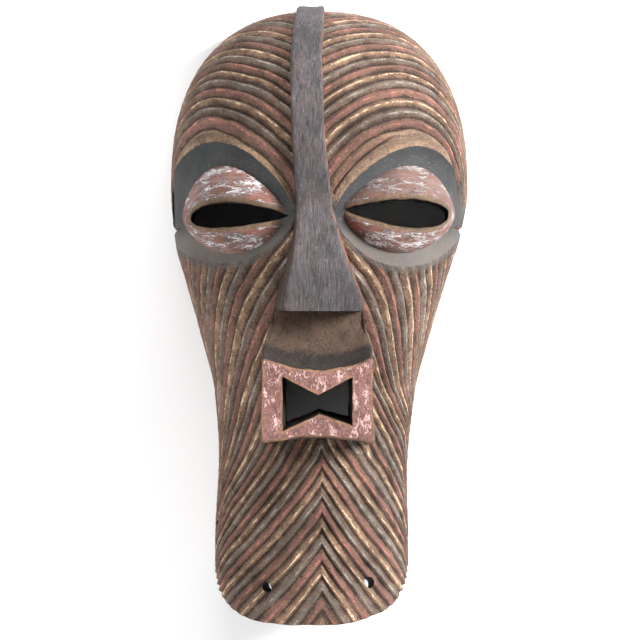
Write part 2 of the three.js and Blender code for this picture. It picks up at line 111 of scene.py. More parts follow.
def soft_noise(points: Array, size: float, seed: int, waves: int = 14) -> Array:
    """Smooth noise from about -1 to 1: a sum of sine waves in seeded directions.

    Args:
        points: places, the last axis being x, y and z in millimetres.
        size: the rough distance between bumps, in millimetres.
        seed: which noise; the same seed gives the same noise.
        waves: how many waves are summed.
    Returns:
        One value for each place.
    """
    rng = np.random.default_rng(seed)
    heading = rng.normal(size=(waves, 3))
    pace = (2 * np.pi / size) * rng.uniform(0.5, 1.2, (waves, 1))
    heading *= pace / np.linalg.norm(heading, axis=1)[:, None]
    start = rng.uniform(0, 2 * np.pi, waves)
    total = np.zeros(points.shape[:-1])
    for direction, shift in zip(heading, start):
        total += np.sin(points @ direction + shift)
    return total / np.sqrt(waves / 2) / 1.6


def even_shares(across: float, up: float, power: float, count: int) -> Array:
    """Shares of a superellipse's quarter turn that give steps of even length along it.

    Args:
        across: its half width.
        up: its height.
        power: the superellipse's power.
        count: how many steps.
    Returns:
        count + 1 shares from 0 to 1.
    """
    fine = np.linspace(0, 1, 6000)
    x = across * np.sin(fine * np.pi / 2) ** (2 / power)
    y = up * np.cos(fine * np.pi / 2) ** (2 / power)
    length = np.concatenate([[0], np.cumsum(np.hypot(np.diff(x), np.diff(y)))])
    return np.interp(np.linspace(0, length[-1], count + 1), length, fine)


def cut_quads(quads: Array) -> Array:
    """Quads as pairs of triangles, without those that have shrunk to a line."""
    both = np.concatenate([quads[:, [0, 1, 2]], quads[:, [0, 2, 3]]])
    a, b, c = both.T
    return both[(a != b) & (b != c) & (c != a)]


@dataclass
class Surface:
    """A closed mesh of triangles with a carving map, ready to become an object."""

    points: Array
    faces: Array
    chart: Array

    def to_object(self, name: str, material: bpy.types.Material | None) -> bpy.types.Object:
        """Puts the surface into a new object.

        Args:
            name: the object's name.
            material: its one material.
        Returns:
            The object, linked to the scene, in the carving's millimetres.
        """
        mesh = bpy.data.meshes.new(name)
        used, loops = np.unique(self.faces.ravel(), return_inverse=True)
        mesh.vertices.add(len(used))
        mesh.vertices.foreach_set("co", self.points[used].astype(np.float32).ravel())
        mesh.loops.add(len(loops))
        mesh.loops.foreach_set("vertex_index", loops.astype(np.int32))
        mesh.polygons.add(len(self.faces))
        mesh.polygons.foreach_set("loop_start", np.arange(0, len(loops), 3, dtype=np.int32))
        layer = mesh.uv_layers.new(name="carving")
        layer.uv.foreach_set("vector", self.chart[used][loops].astype(np.float32).ravel())
        mesh.update(calc_edges=True)
        mesh.validate()
        if material is not None:
            mesh.materials.append(material)
        made = bpy.data.objects.new(name, mesh)
        bpy.context.scene.collection.objects.link(made)
        return made


def loft(loops: Array, chart: Array | None = None) -> Surface:
    """Closed loops joined one to the next, with a fan of triangles over each end.

    Args:
        loops: stations by points by 3, each station a closed loop, counter-clockwise seen from the last.
        chart: stations by points by 2, the carving map there; zero if left out.
    Returns:
        The closed surface.
    """
    stations, count = loops.shape[:2]
    index = np.arange(stations * count).reshape(stations, count)
    after = np.roll(index, -1, axis=1)
    quads = np.stack([index[:-1], after[:-1], after[1:], index[1:]], -1).reshape(-1, 4)
    centres = loops[[0, -1]].mean(axis=1)
    first, last = stations * count, stations * count + 1
    caps = np.concatenate(
        [
            np.stack([np.full(count, first), after[0], index[0]], -1),
            np.stack([np.full(count, last), index[-1], after[-1]], -1),
        ]
    )
    if chart is None:
        chart = np.zeros((stations, count, 2))
    ends = chart[[0, -1]].mean(axis=1)
    points = np.concatenate([loops.reshape(-1, 3), centres])
    faces = np.concatenate([cut_quads(quads), caps])
    return Surface(points, faces, np.concatenate([chart.reshape(-1, 2), ends]))


@dataclass(frozen=True)
class Lens:
    """A pointed oval round an eye: how far it runs past the corners, and how far up and down.

    inner and outer are below zero where it ends inside the corners. Its own line lies drop below the
    line between the corners, and part is the share of its length that is on the face.
    """

    inner: float
    outer: float
    up: float
    down: float
    up_peak: float
    down_peak: float
    corner: float
    drop: float = 0.0
    part: float = 1.0

    def share(self, t: Array, u: Array) -> Array:
        """Its height as a share of its peak: sin(pi t^peak)^corner, never quite zero."""
        peak = np.where(u > 0, self.up_peak, self.down_peak)
        wave = np.sin(np.pi * np.clip(t, 0, 1) ** peak)
        return np.maximum(0.002, wave) ** self.corner

    def reach(self, t: Array, u: Array) -> Array:
        """How far it reaches up, where u is above zero, or down."""
        return self.share(t, u) * np.where(u > 0, self.up, self.down)


@dataclass(frozen=True)
class Eye:
    """One eye: its inner and outer corner, and the ovals of its lids, socket and slit."""

    name: str
    inner: tuple[float, float]
    outer: tuple[float, float]
    lids: Lens
    socket: Lens
    slit: Lens

    @property
    def length(self) -> float:
        """The distance between the corners."""
        return float(np.hypot(self.outer[0] - self.inner[0], self.outer[1] - self.inner[1]))

    @property
    def along(self) -> Array:
        """The direction from the inner to the outer corner."""
        return (np.array(self.outer) - np.array(self.inner)) / self.length

    @property
    def above(self) -> Array:
        """The direction square to that, towards the brow."""
        x, y = self.along
        return np.array([-y, x]) * np.sign(x)

    def place(self, lens: Lens, t: Array, u: Array) -> tuple[Array, Array, Array]:
        """A point of an oval.

        Args:
            lens: the oval.
            t: 0 at its inner end and 1 at its outer one.
            u: -1 at its lower edge and 1 at its upper one.
        Returns:
            x and y, and how far along from the eye's inner corner the point is.
        """
        travelled = -lens.inner + t * (self.length + lens.inner + lens.outer)
        rise = u * lens.reach(t, u) - lens.drop
        x = self.inner[0] + self.along[0] * travelled + self.above[0] * rise
        y = self.inner[1] + self.along[1] * travelled + self.above[1] * rise
        return x, y, travelled + 0 * rise

    def beyond(self, lens: Lens, x: Array, y: Array) -> Array:
        """Roughly how far outside an oval points lie.

        Args:
            lens: the oval.
            x: the points' places across the face.
            y: their heights.
        Returns:
            Millimetres, below zero inside.
        """
        dx, dy = x - self.inner[0], y - self.inner[1]
        travelled = dx * self.along[0] + dy * self.along[1]
        rise = dx * self.above[0] + dy * self.above[1] + lens.drop
        whole = self.length + lens.inner + lens.outer
        t = (travelled + lens.inner) / whole
        over = np.abs(rise) - lens.reach(t, rise)
        past = np.maximum(0, np.maximum(-t, t - 1)) * whole
        return np.where((past > 0) & (over < 0), past, np.sign(over) * np.hypot(past, over))


EYES = (
    Eye(
        "left",
        (-22.9, 78.0),
        (-102.6, 76.5),
        Lens(0.0, 0.0, 35.0, 30.0, 1.35, 1.0, 0.6),
        Lens(5.0, 20.0, 55.0, 37.8, 1.25, 1.0, 0.5, part=0.891),
        Lens(0.0, -8.1, 10.9, 7.5, 1.67, 1.67, 0.42, drop=3.3),
    ),
    Eye(
        "right",
        (14.2, 80.0),
        (100.8, 77.8),
        Lens(0.0, 0.0, 33.6, 30.7, 1.35, 1.0, 0.6),
        Lens(5.0, 11.0, 49.8, 42.4, 1.4, 1.0, 0.5),
        Lens(-4.0, -6.8, 8.9, 11.8, 1.67, 1.67, 0.42, drop=0.7),
    ),
)


@dataclass
class Ridges:
    """The carved ridges: where each runs, as a running count over the wood, and their section.

    On the forehead the count grows with the distance from a point out in front of each eye. Below the
    brow it grows with the height on the middle line and with the way round the shell from that line.
    Each whole number is a crest. Lean moves the grooves on both sides of a crest the same way, so that
    one flank of every ridge is steep and the other long.
    """

    left_centre: tuple[float, float, float] = (-174.0, -7.3, 178.0)
    right_centre: tuple[float, float, float] = (122.3, 27.0, 196.7)
    per_mm: float = 0.137
    left_start: float = -25.8
    right_start: float = -19.84
    apex_x: float = 1.5
    depth: float = 2.3
    bow_span: float = 95.0
    temple_depth: float = 2.3
    brow_stretch: float = 1.35  # the lowest ridge over the left brow is this much wider than the rest
    bead_width: float = 8.6  # of the bead along the inner half of the right socket's upper edge
    heights: tuple[float, ...] = (50.0, -45.0, -90.0, -150.0, -215.0)
    left_pitch: tuple[float, ...] = (10.82, 8.89, 8.26, 10.28, 13.79)
    right_pitch: tuple[float, ...] = (11.24, 7.74, 9.77, 10.97, 12.41)
    # Below the brow: the count at y = 0, its growth for each mm up, how far the ridges bow out half way
    # round, and how far the tips on the middle line are drawn up, at y = 0 and for each mm up.
    left_rule: tuple[float, ...] = (17.339, 0.077, 0.429, 1.56, 0.0087)
    right_rule: tuple[float, ...] = (18.051, 0.082, 0.974, 0.85, 0.0037)
    tip_span: float = 20.0

    def forehead(self, p: Array) -> Array:
        """The ridge count on the forehead: the distance from each side's centre, scaled and started."""
        left = np.linalg.norm(p - np.array(self.left_centre), axis=-1) * self.per_mm + self.left_start
        right = np.linalg.norm(p - np.array(self.right_centre), axis=-1) * self.per_mm + self.right_start
        left = np.where(left < 1.25, 1.25 - (1.25 - left) / self.brow_stretch, left)
        return np.where(p[..., 0] < -6.0, left, right)

    def lower(self, x: Array, y: Array, way: Array) -> Array:
        """The ridge count below the brow: height on the middle line, plus the way round over the pitch.

        Args:
            x: the places across, which tell the left side from the right.
            y: the heights.
            way: the way round the shell from the middle line.
        Returns:
            start + growth y + way / pitch + bow 4 w (1 - w) + (tip + tip growth y) exp(-(way / span)^2),
            where w is the way as a share of the bow's span.
        """
        left_pitch = curve_through(tuple(zip(self.heights, self.left_pitch)))(y)
        right_pitch = curve_through(tuple(zip(self.heights, self.right_pitch)))(y)
        arch = np.maximum(0, 4 * way * (self.bow_span - way) / self.bow_span**2)
        low = np.clip((-60 - y) / 40, 0, 1)
        tip = np.exp(-((way / self.tip_span) ** 2)) * low
        sides = []
        for pitch, rule in ((left_pitch, self.left_rule), (right_pitch, self.right_rule)):
            start, growth, bow, point, point_growth = rule
            line = start + growth * y + way / pitch
            sides.append(line + bow * arch * low + (point + point_growth * y) * tip)
        return np.where(x < self.apex_x, *sides)

    def lean(self, x: Array, y: Array, above: Array) -> Array:
        """How far the middle between a ridge's grooves lies from its crest, in ridges.

        Args:
            x: places across the face.
            y: their heights.
            above: whether they are on the forehead.
        Returns:
            The lean at each place.
        """
        forehead = np.where(x < -6.0, -0.22, 0.0)
        down = smooth_step(-20.0, -110.0, y)
        left = -0.26 + 0.46 * down
        right = -0.10 + 0.36 * down
        return np.where(above, forehead, np.where(x < self.apex_x, left, right))

    def section(self, count: Array, lean: Array) -> tuple[Array, Array]:
        """One ridge across: a hump with its crest off its middle, between two sharp grooves.

        Args:
            count: the running ridge count; each whole number is a crest.
            lean: how far the middle between the grooves lies from the crest.
        Returns:
            Millimetres below the crests, and the ridge's number plus the share across it, drawn so
            that its crest is at a half.
        """
        moved = count - lean + 0.5
        number = np.floor(moved)
        part = moved - number
        crest = 0.5 - lean
        share = np.where(part < crest, 0.5 * part / crest, 0.5 + 0.5 * (part - crest) / (1 - crest))
        hump = np.abs(2 * share - 1) ** 1.25
        brow = smooth_step(0.62, 1.0, moved)
        return -self.depth * np.where(moved < 1, brow, hump), number + share

    def bead(self, x: Array, border: Array) -> Array:
        """The depth of the groove beside the bead: exp(-(d / 1.3)^2) about its width, faded at both ends."""
        ends = smooth_step(6.0, 12.0, x) * smooth_step(58.0, 46.0, x)
        return self.depth * np.exp(-(((border - self.bead_width) / 1.3) ** 2)) * ends


@dataclass
class Shell:
    """The half-tube with its domed crown: superellipse sections below the brow, a superellipsoid above."""

    brow_y: float = 100.0
    brow_half_width: float = 113.8
    brow_depth: float = 138.0
    dome_rise: float = 135.8
    power: float = 2.4
    wall: float = 12.0
    front_wall: float = 15.0
    end_y: float = -238.5
    step: float = 1.0
    meridian: float = 208.0  # the way from the spine to the rim
    turn: float = 205.0  # the way round a quarter of the rim of the dome
    half_widths: Pairs = (
        (100, 113.8),
        (62, 109.25),
        (27, 99.1),
        (-19, 85.8),
        (-54, 77.1),
        (-112, 72.5),
        (-170, 74.4),
        (-240, 74.4),
    )
    depths: Pairs = ((100, 138), (0, 125.5), (-56.6, 117), (-180, 111), (-240, 108))
    middles: Pairs = ((100, -0.5), (40, -3), (-60, -4), (-160, -6.3), (-240, -6.3))
    ridges: Ridges = field(default_factory=Ridges)

    def __post_init__(self) -> None:
        """Sets the curves of half width, depth and middle line against height."""
        self.half_width = curve_through(self.half_widths)
        self.depth = curve_through(self.depths)
        self.centre = curve_through(self.middles)

    def level(self, p: Array) -> Array:
        """Zero on the shell, above zero outside: the superellipse or superellipsoid sum less one."""
        x, y, z = p[..., 0], p[..., 1], p[..., 2]
        low = np.minimum(y, self.brow_y)
        across = np.abs((x - self.centre(low)) / self.half_width(low)) ** self.power
        along = (np.maximum(0, y - self.brow_y) / self.dome_rise) ** self.power
        return across + along + np.abs(z / self.depth(low)) ** self.power - 1

    def outward(self, p: Array) -> Array:
        """The direction square to the wood: the gradient of level, by central differences."""
        e = 0.05
        slopes = [self.level(p + step) - self.level(p - step) for step in np.eye(3) * e]
        normal = np.stack(slopes, -1)
        return normal / np.maximum(np.linalg.norm(normal, axis=-1, keepdims=True), 1e-12)

    def height(self, x: Array, y: Array) -> Array:
        """The z of the plain shell over a point of the face."""
        low = np.minimum(y, self.brow_y)
        across = np.abs((x - self.centre(low)) / self.half_width(low)) ** self.power
        along = (np.maximum(0, y - self.brow_y) / self.dome_rise) ** self.power
        return self.depth(low) * np.maximum(0, 1 - across - along) ** (1 / self.power)

    def raised(self, x: Array, y: Array, step: Array) -> Array:
        """Points over the face at a height measured square to the plain shell.

        Args:
            x: their places across.
            y: their heights on the face.
            step: how far out of the wood they are.
        Returns:
            The points.
        """
        z = self.height(x, y)
        lean = self.outward(np.stack([x, y, np.maximum(z, 1.0)], -1))[..., 2]
        return np.stack([x, y, z + step / np.maximum(0.5, lean)], -1)

    def grid(self, step: float, inset: float, front_inset: float, end_y: float) -> Array:
        """Rows of points from the spine to the rim: up the left side, round the crown, down the right.

        Each row of the tube is a quarter superellipse at one height. Each row of the dome is a meridian.

        Args:
            step: the rough distance between points.
            inset: how far inside the outer surface the side walls are.
            front_inset: the same at the front.
            end_y: the lower end of the tube.
        Returns:
            Rows by points by 3.
        """
        shares = even_shares(self.brow_half_width, self.brow_depth, self.power, int(self.meridian / step))
        out = np.sin(shares * np.pi / 2) ** (2 / self.power)
        up = np.cos(shares * np.pi / 2) ** (2 / self.power)
        heights = np.linspace(end_y, self.brow_y, int((self.brow_y - end_y) / step) + 1)
        quarter = even_shares(self.dome_rise, self.brow_half_width, self.power, int(self.turn / step))
        quarter = quarter[1:] * np.pi / 2

        def tube(side: int) -> Array:
            """The rows of one side of the tube, lowest first."""
            y = heights[:, None]
            x = self.centre(y) + side * (self.half_width(y) - inset) * out
            return np.stack([x, y + 0 * x, (self.depth(y) - front_inset) * up + 0 * x], -1)

        turns = np.concatenate([np.pi - quarter, quarter[::-1][1:]])[:, None]
        across, along = np.cos(turns), np.sin(turns)
        x = np.sign(across) * np.abs(across) ** (2 / self.power) * out
        y = along ** (2 / self.power) * out
        dome = np.stack(
            [
                self.centre(self.brow_y) + (self.brow_half_width - inset) * x,
                self.brow_y + (self.dome_rise - inset) * y,
                (self.brow_depth - front_inset) * up + 0 * x,
            ],
            -1,
        )
        return np.concatenate([tube(-1), dome, tube(1)[::-1]])

    def closed(self, rows: Array, chart: Array, drop: float) -> Surface:
        """Closes a grid of rows: a skirt below the rim, and fans from the skirt and ends to one point.

        Args:
            rows: rows by points by 3, each from the spine to the rim.
            chart: the carving map there.
            drop: how far below the rim plane the skirt ends.
        Returns:
            The closed surface.
        """
        skirt = rows[:, -1:].copy()
        skirt[..., 2] = -drop
        rows = np.concatenate([rows, skirt], axis=1)
        chart = np.concatenate([chart, chart[:, -1:]], axis=1)
        count, columns = rows.shape[:2]
        index = np.arange(count * columns).reshape(count, columns)
        tube = int(np.argmax(rows[:, 0, 1] >= self.brow_y - 1e-6)) + 1
        index[tube : count - tube, 0] = index[tube - 1, 0]
        index[count - tube :, 0] = index[:tube, 0][::-1]
        quads = np.stack([index[:-1, :-1], index[1:, :-1], index[1:, 1:], index[:-1, 1:]], -1).reshape(-1, 4)
        apex = count * columns
        edge = np.concatenate([index[0], index[1:-1, -1], index[-1, ::-1]])
        fan = np.stack([np.full(len(edge) - 1, apex), edge[:-1], edge[1:]], -1)
        low = rows[0, 0, 1]
        points = np.concatenate([rows.reshape(-1, 3), [[float(self.centre(low)), low, -drop]]])
        faces = np.concatenate([cut_quads(quads), fan])
        return Surface(points, faces, np.concatenate([chart.reshape(-1, 2), [[0, 0]]]))

    def carved(self) -> Surface:
        """The outer surface with its ridges cut in, square to the wood."""
        rows = self.grid(self.step, 0.0, 0.0, self.end_y)
        x, y = rows[..., 0], rows[..., 1]
        way = self.way_round(rows)
        edge_y = 78.0 - 10.0 * smooth_step(20, 105, np.abs(x))
        wobble = 0.10 * soft_noise(rows, 55.0, 3) + 0.035 * soft_noise(rows, 14.0, 4)
        above = y > edge_y
        lower = self.ridges.lower(x, y, way) + CHEEK_PHASE
        count = np.where(above, self.ridges.forehead(rows), lower) + wobble
        border = np.min([eye.beyond(eye.socket, x, y) for eye in EYES], axis=0)
        relief, count = self.ridges.section(count, self.ridges.lean(x, y, above))
        beside = np.minimum(relief, -self.ridges.bead(x, border))
        relief = np.where(above & (count < 1), beside, relief)
        relief *= 1 + 0.25 * soft_noise(rows, 30.0, 5)
        relief *= np.where(above, 1.0, 0.12 + 0.88 * smooth_step(0.0, 5.0, border))
        relief *= 1 - 0.75 * smooth_step(-198.0, -214.0, y)
        relief *= 1 - smooth_step(42.0, 32.0, np.abs(x)) * np.exp(-(((y - edge_y) / 4.0) ** 2))
        relief += 0.10 * soft_noise(rows, 7.0, 6) + 0.05 * soft_noise(rows, 3.4, 7)
        temple = np.exp(-(((y - edge_y) / 1.9) ** 2)) * smooth_step(88, 104, np.abs(x))
        relief -= self.ridges.temple_depth * temple
        rows = rows + self.outward(rows) * np.minimum(relief, 0.1)[..., None]
        chart = np.stack([count, np.clip(border, -20, 60)], -1) / PHASE_SCALE
        return self.closed(rows, chart, SKIRT)

    def way_round(self, rows: Array) -> Array:
        """The way round the shell from the middle line at the same height.

        Args:
            rows: a grid of points on the shell.
        Returns:
            Millimetres for each point.
        """
        x, y = rows[..., 0], rows[..., 1]
        low = np.minimum(y, self.brow_y)
        half, depth, middle = self.half_width(low), self.depth(low), self.centre(low)
        start = np.clip((self.ridges.apex_x - middle) / half, 0, 1)
        share = np.linspace(0, 1, 600)
        out, up = np.sin(share * np.pi / 2) ** (2 / self.power), np.cos(share * np.pi / 2) ** (2 / self.power)
        length = np.concatenate([[0], np.cumsum(np.hypot(96.0 * np.diff(out), 121.0 * np.diff(up)))])
        scale = (half + depth) / (96.0 + 121.0)
        across = np.clip((x - middle) / half, -1, 1)
        went = np.interp(np.abs(across), out, length) * np.sign(across) * scale
        began = np.interp(start, out, length) * scale
        return np.abs(went - began)

    def hollow(self) -> Surface:
        """The hollow behind the face, with a pocket behind the mouth and shallow adze marks."""
        rows = self.grid(3.0, self.wall, self.front_wall, self.end_y - 12.0)
        away = np.hypot((rows[..., 0] + 1.8) / 36.0, (rows[..., 1] + 56.6) / 32.0)
        share = np.linspace(0, 1, rows.shape[1])
        pocket = 24.0 * np.exp(-(away**4)) * (1 - share)
        rows[..., 2] += pocket
        facets = np.abs(soft_noise(rows * [1, 0.55, 1], 16.0, 11)) - 0.4
        rows = rows + self.outward(rows) * (0.9 * facets * (1 - share**6))[..., None]
        return self.closed(rows, np.zeros((*rows.shape[:2], 2)), SKIRT + 2)


@dataclass
class Crest:
    """The flat-topped band from the back of the crown to the tip of the nose.

    Its section is carried along the shell's spine: two flanks that spread towards their roots, worn
    upper edges and a nearly flat top.
    """

    shell: Shell
    bevel: float = 1.1
    root: float = 8.25
    tip_y: float = 6.4
    tip_z: float = 160.0
    left_draft: float = 7.0
    right_draft: float = 2.0
    corner: float = 4.0  # how much of the tip's two corners is rounded off
    leans: Pairs = ((190, -9.8), (145, -8.9), (60, -2))  # x of its middle at heights between its ends
    widths: Pairs = ((190, 21.8), (100, 23.84), (82, 25.2), (44, 37.35))
    rises: Pairs = ((190, 6.5), (100, 8.0))
    upper_end: tuple[float, float, float] = (-6.9, 20.4, 4.1)  # lean, width and rise at its upper end
    lower_end: tuple[float, float] = (1.9, 55.5)  # lean and width at its lower end

    def surface(self) -> Surface:
        """The closed surface, with the share across and the millimetres along in its carving map."""
        shell = self.shell
        top_y = shell.brow_y + shell.dome_rise
        tip_height = self.tip_z - float(shell.depth(self.tip_y))
        lean, width, height = (
            curve_through(((top_y, first), *between, (self.tip_y, last)))
            for first, between, last in zip(
                self.upper_end, (self.leans, self.widths, self.rises), (*self.lower_end, tip_height)
            )
        )
        share = 1 - even_shares(shell.dome_rise, shell.brow_depth, shell.power, 190)
        out = np.sin(share * np.pi / 2) ** (2 / shell.power)
        up = np.cos(share * np.pi / 2) ** (2 / shell.power)
        crown = np.stack([0 * out, shell.brow_y + shell.dome_rise * out, shell.brow_depth * up], -1)
        down = np.arange(shell.brow_y - 1.0, self.tip_y + self.corner, -1.0)
        down = np.append(down, self.tip_y + self.corner * (1 - np.linspace(0, 1, 9)[1:] ** 0.6))
        face = np.stack([0 * down, down, shell.depth(down)], -1)
        back = np.array([[0, top_y, -SKIRT]])
        foot = np.concatenate([back, crown, face])
        normal = shell.outward(np.maximum(foot, [-1e9, -1e9, 0.2]))
        normal[:, 0] = 0
        normal[foot[:, 1] <= shell.brow_y] = [0, 0, 1]
        normal[0] = [0, 1, 0]
        normal /= np.linalg.norm(normal, axis=1, keepdims=True)
        y = foot[:, 1][:, None]
        near_tip = np.clip(1 - (y - self.tip_y) / self.corner, 0, 1)
        half = width(y) / 2 - self.corner * 0.6 * (1 - np.sqrt(1 - near_tip**2))
        rise = height(y)
        widening = smooth_step(shell.brow_y, self.tip_y, y)
        left, right = self.left_draft * widening + 0.9, self.right_draft * widening + 0.9
        flank, top = np.linspace(0, 1, 9)[:-1], np.linspace(1, -1, 27)
        side = np.concatenate(
            [half + right * (1 - flank), (half - self.bevel) * top, -(half + left * (1 - flank[::-1]))], 1
        )
        level = np.concatenate(
            [
                -self.root + (rise - self.bevel + self.root) * flank / flank[-1],
                rise + 0 * top,
                -self.root + (rise - self.bevel + self.root) * flank[::-1] / flank[-1],
            ],
            1,
        )
        points = foot[:, None] + normal[:, None] * level[..., None]
        points[..., 0] = lean(y) + side
        on_top = np.zeros(side.shape[1])
        on_top[8:35] = 1
        mark = 0.28 * soft_noise(points * [1, 0.35, 0.35], 9.0, 21) + 0.16 * soft_noise(points, 4.0, 22)
        edges = np.isin(np.arange(side.shape[1]), (7, 8, 34, 35))
        worn = 0.5 * np.maximum(0, soft_noise(points, 11.0, 23)) * edges
        points += normal[:, None] * ((mark * on_top) - worn - 0.25)[..., None]
        points[..., 0] += 0.35 * soft_noise(points, 24.0, 24)
        travelled = np.concatenate([[0], np.cumsum(np.linalg.norm(np.diff(foot, axis=0), axis=1))])[:, None]
        chart = np.stack([side / half, travelled + 0 * side], -1) / PHASE_SCALE
        return loft(points, chart)


@dataclass
class MouthBlock:
    """The projecting mouth with the hollowed lip above it, and the bow-tie cut through it.

    The block is its side profile carried across the face; its upper edge sags and its lower edge lifts
    towards the middle as 1 - share^2, and the corners of its front are rounded.
    """

    shell: Shell
    x: float = -1.8
    y: float = -56.6
    z: float = 168.0
    half_width: float = 39.0
    half_height: float = 30.8
    sag: float = 9.8
    lift: float = 4.6
    draft: float = 3.0
    lip_half_width: float = 32.0
    lip_y: float = 8.0
    lip_rise: float = 1.5
    bevel: float = 1.5
    corner: float = 3.6
    bow: tuple[tuple[float, float], ...] = (
        (-24.8, -22.2),
        (1.0, -10.0),
        (24.8, -17.8),
        (24.8, 16.3),
        (0.6, 3.8),
        (-24.8, 16.8),
    )
    back_scale: float = 0.86
    back_lift: float = 4.0
    back_z: float = 87.0
    root_z: float = 105.0  # where the block ends inside the shell
    flat: float = 22.0  # how far from its middle the front's rows begin to follow its edges fully

    def surface(self) -> Surface:
        """The closed surface of the block, its map holding x and how far inside its front's edges it lies."""
        root = self.root_z
        start = float(self.shell.depth(self.lip_y)) + self.lip_rise
        top, bottom = self.y + self.half_height, self.y - self.half_height
        angle = np.linspace(0, np.pi / 2, 44)
        lip_y = self.lip_y + (top - self.lip_y) * np.sin(angle)
        lip_z = start + (self.z - self.bevel - start) * (1 - np.cos(angle))
        face_y = np.linspace(top - self.bevel, bottom + self.bevel, 56)
        under_z = np.linspace(self.z - self.bevel, root, 50)
        under_y = bottom - self.draft * (self.z - under_z) / (self.z - root)
        y = np.concatenate([[self.lip_y], lip_y, face_y, under_y])[None]
        z = np.concatenate([[root], lip_z, 0 * face_y + self.z, under_z])[None]
        even = np.linspace(-1, 1, 85)[:, None]
        share = 0.6 * even + 0.4 * np.sin(even * np.pi / 2)
        deep = (self.z - z) / (self.z - root)
        narrow = smooth_step(top, self.lip_y, y)
        half = (self.half_width + self.draft * deep) * (1 - narrow) + self.lip_half_width * narrow
        near = np.clip((np.abs(share) * self.half_width - self.half_width) / self.corner + 1, 0, 1)
        rounding = self.corner * (1 - np.sqrt(1 - near * near))
        bow = 1 - share * share
        drop = self.sag * bow * smooth_step(self.lip_y, top, y) + rounding * (1 - narrow)
        drop = np.where(y > self.y, drop, -self.lift * bow - rounding)
        fade = np.clip((y - self.y) / self.flat, -1, 1)
        on_face = (z > self.z - 0.01) & (np.abs(y - self.y) < self.half_height)
        drop = np.where(on_face, drop * np.abs(fade) ** 0.5, drop)
        points = np.stack([self.x + half * share, y - drop, z + 0 * share], -1)
        inside = self.inside(points[..., 0] - self.x, points[..., 1] - self.y)
        inside = np.where(on_face, np.clip(inside, 0, 12), -(self.z - points[..., 2]))
        chart = np.stack([points[..., 0] - self.x, inside], -1) / PHASE_SCALE
        uneven = 0.35 * soft_noise(points, 14.0, 31) + 0.16 * soft_noise(points * [0.5, 1, 1], 4.0, 32)
        points[..., 2] += (uneven - 0.4) * (z > root + 1)
        points[..., 0] += 0.4 * soft_noise(points, 19.0, 33) + 0.15 * soft_noise(points, 6.0, 37)
        points[..., 1] += 0.4 * soft_noise(points, 15.0, 34) + 0.15 * soft_noise(points, 6.0, 38)
        return loft(points, chart)

    def inside(self, x: Array, y: Array) -> Array:
        """How far points of the front lie from the nearest edge of the block or of the bow tie.

        Args:
            x: their places across from the block's middle.
            y: their places up from it.
        Returns:
            The distances, below zero outside the block.
        """
        share = x / self.half_width
        bow = 1 - share * share
        outer = np.minimum(self.half_height - self.sag * bow - y, y + self.half_height - self.lift * bow)
        outer = np.minimum(outer, self.half_width - np.abs(x))
        corners = np.array(self.bow)
        nearest = np.full(x.shape, 1e9)
        for a, b in zip(corners, np.roll(corners, -1, axis=0)):
            side = b - a
            along = np.clip(((x - a[0]) * side[0] + (y - a[1]) * side[1]) / (side @ side), 0, 1)
            nearest = np.minimum(nearest, np.hypot(x - a[0] - along * side[0], y - a[1] - along * side[1]))
        return np.minimum(outer, nearest)

    def bow_tie(self) -> Surface:
        """The opening: a six-cornered outline that narrows and climbs as it goes back."""
        corners = np.array(self.bow)
        t = np.linspace(0, 1, 13)[:-1, None]
        outline = np.concatenate([a + (b - a) * t for a, b in zip(corners, np.roll(corners, -1, axis=0))])
        deep = np.linspace(1, 0, 28)[:, None]
        scale = 1 - (1 - self.back_scale) * deep
        z = self.z + 1 - (self.z + 1 - self.back_z) * deep + 0 * outline[:, 0]
        x = self.x + outline[:, 0] * scale
        y = self.y + self.back_lift * deep + outline[:, 1] * scale
        points = np.stack([x, y, z], -1)
        chart = np.stack([outline[:, 0] + 0 * z, z - self.z], -1) / PHASE_SCALE
        points[..., :2] += 0.25 * np.stack([soft_noise(points, 8.0, 35), soft_noise(points, 8.0, 36)], -1)
        return loft(points, chart)


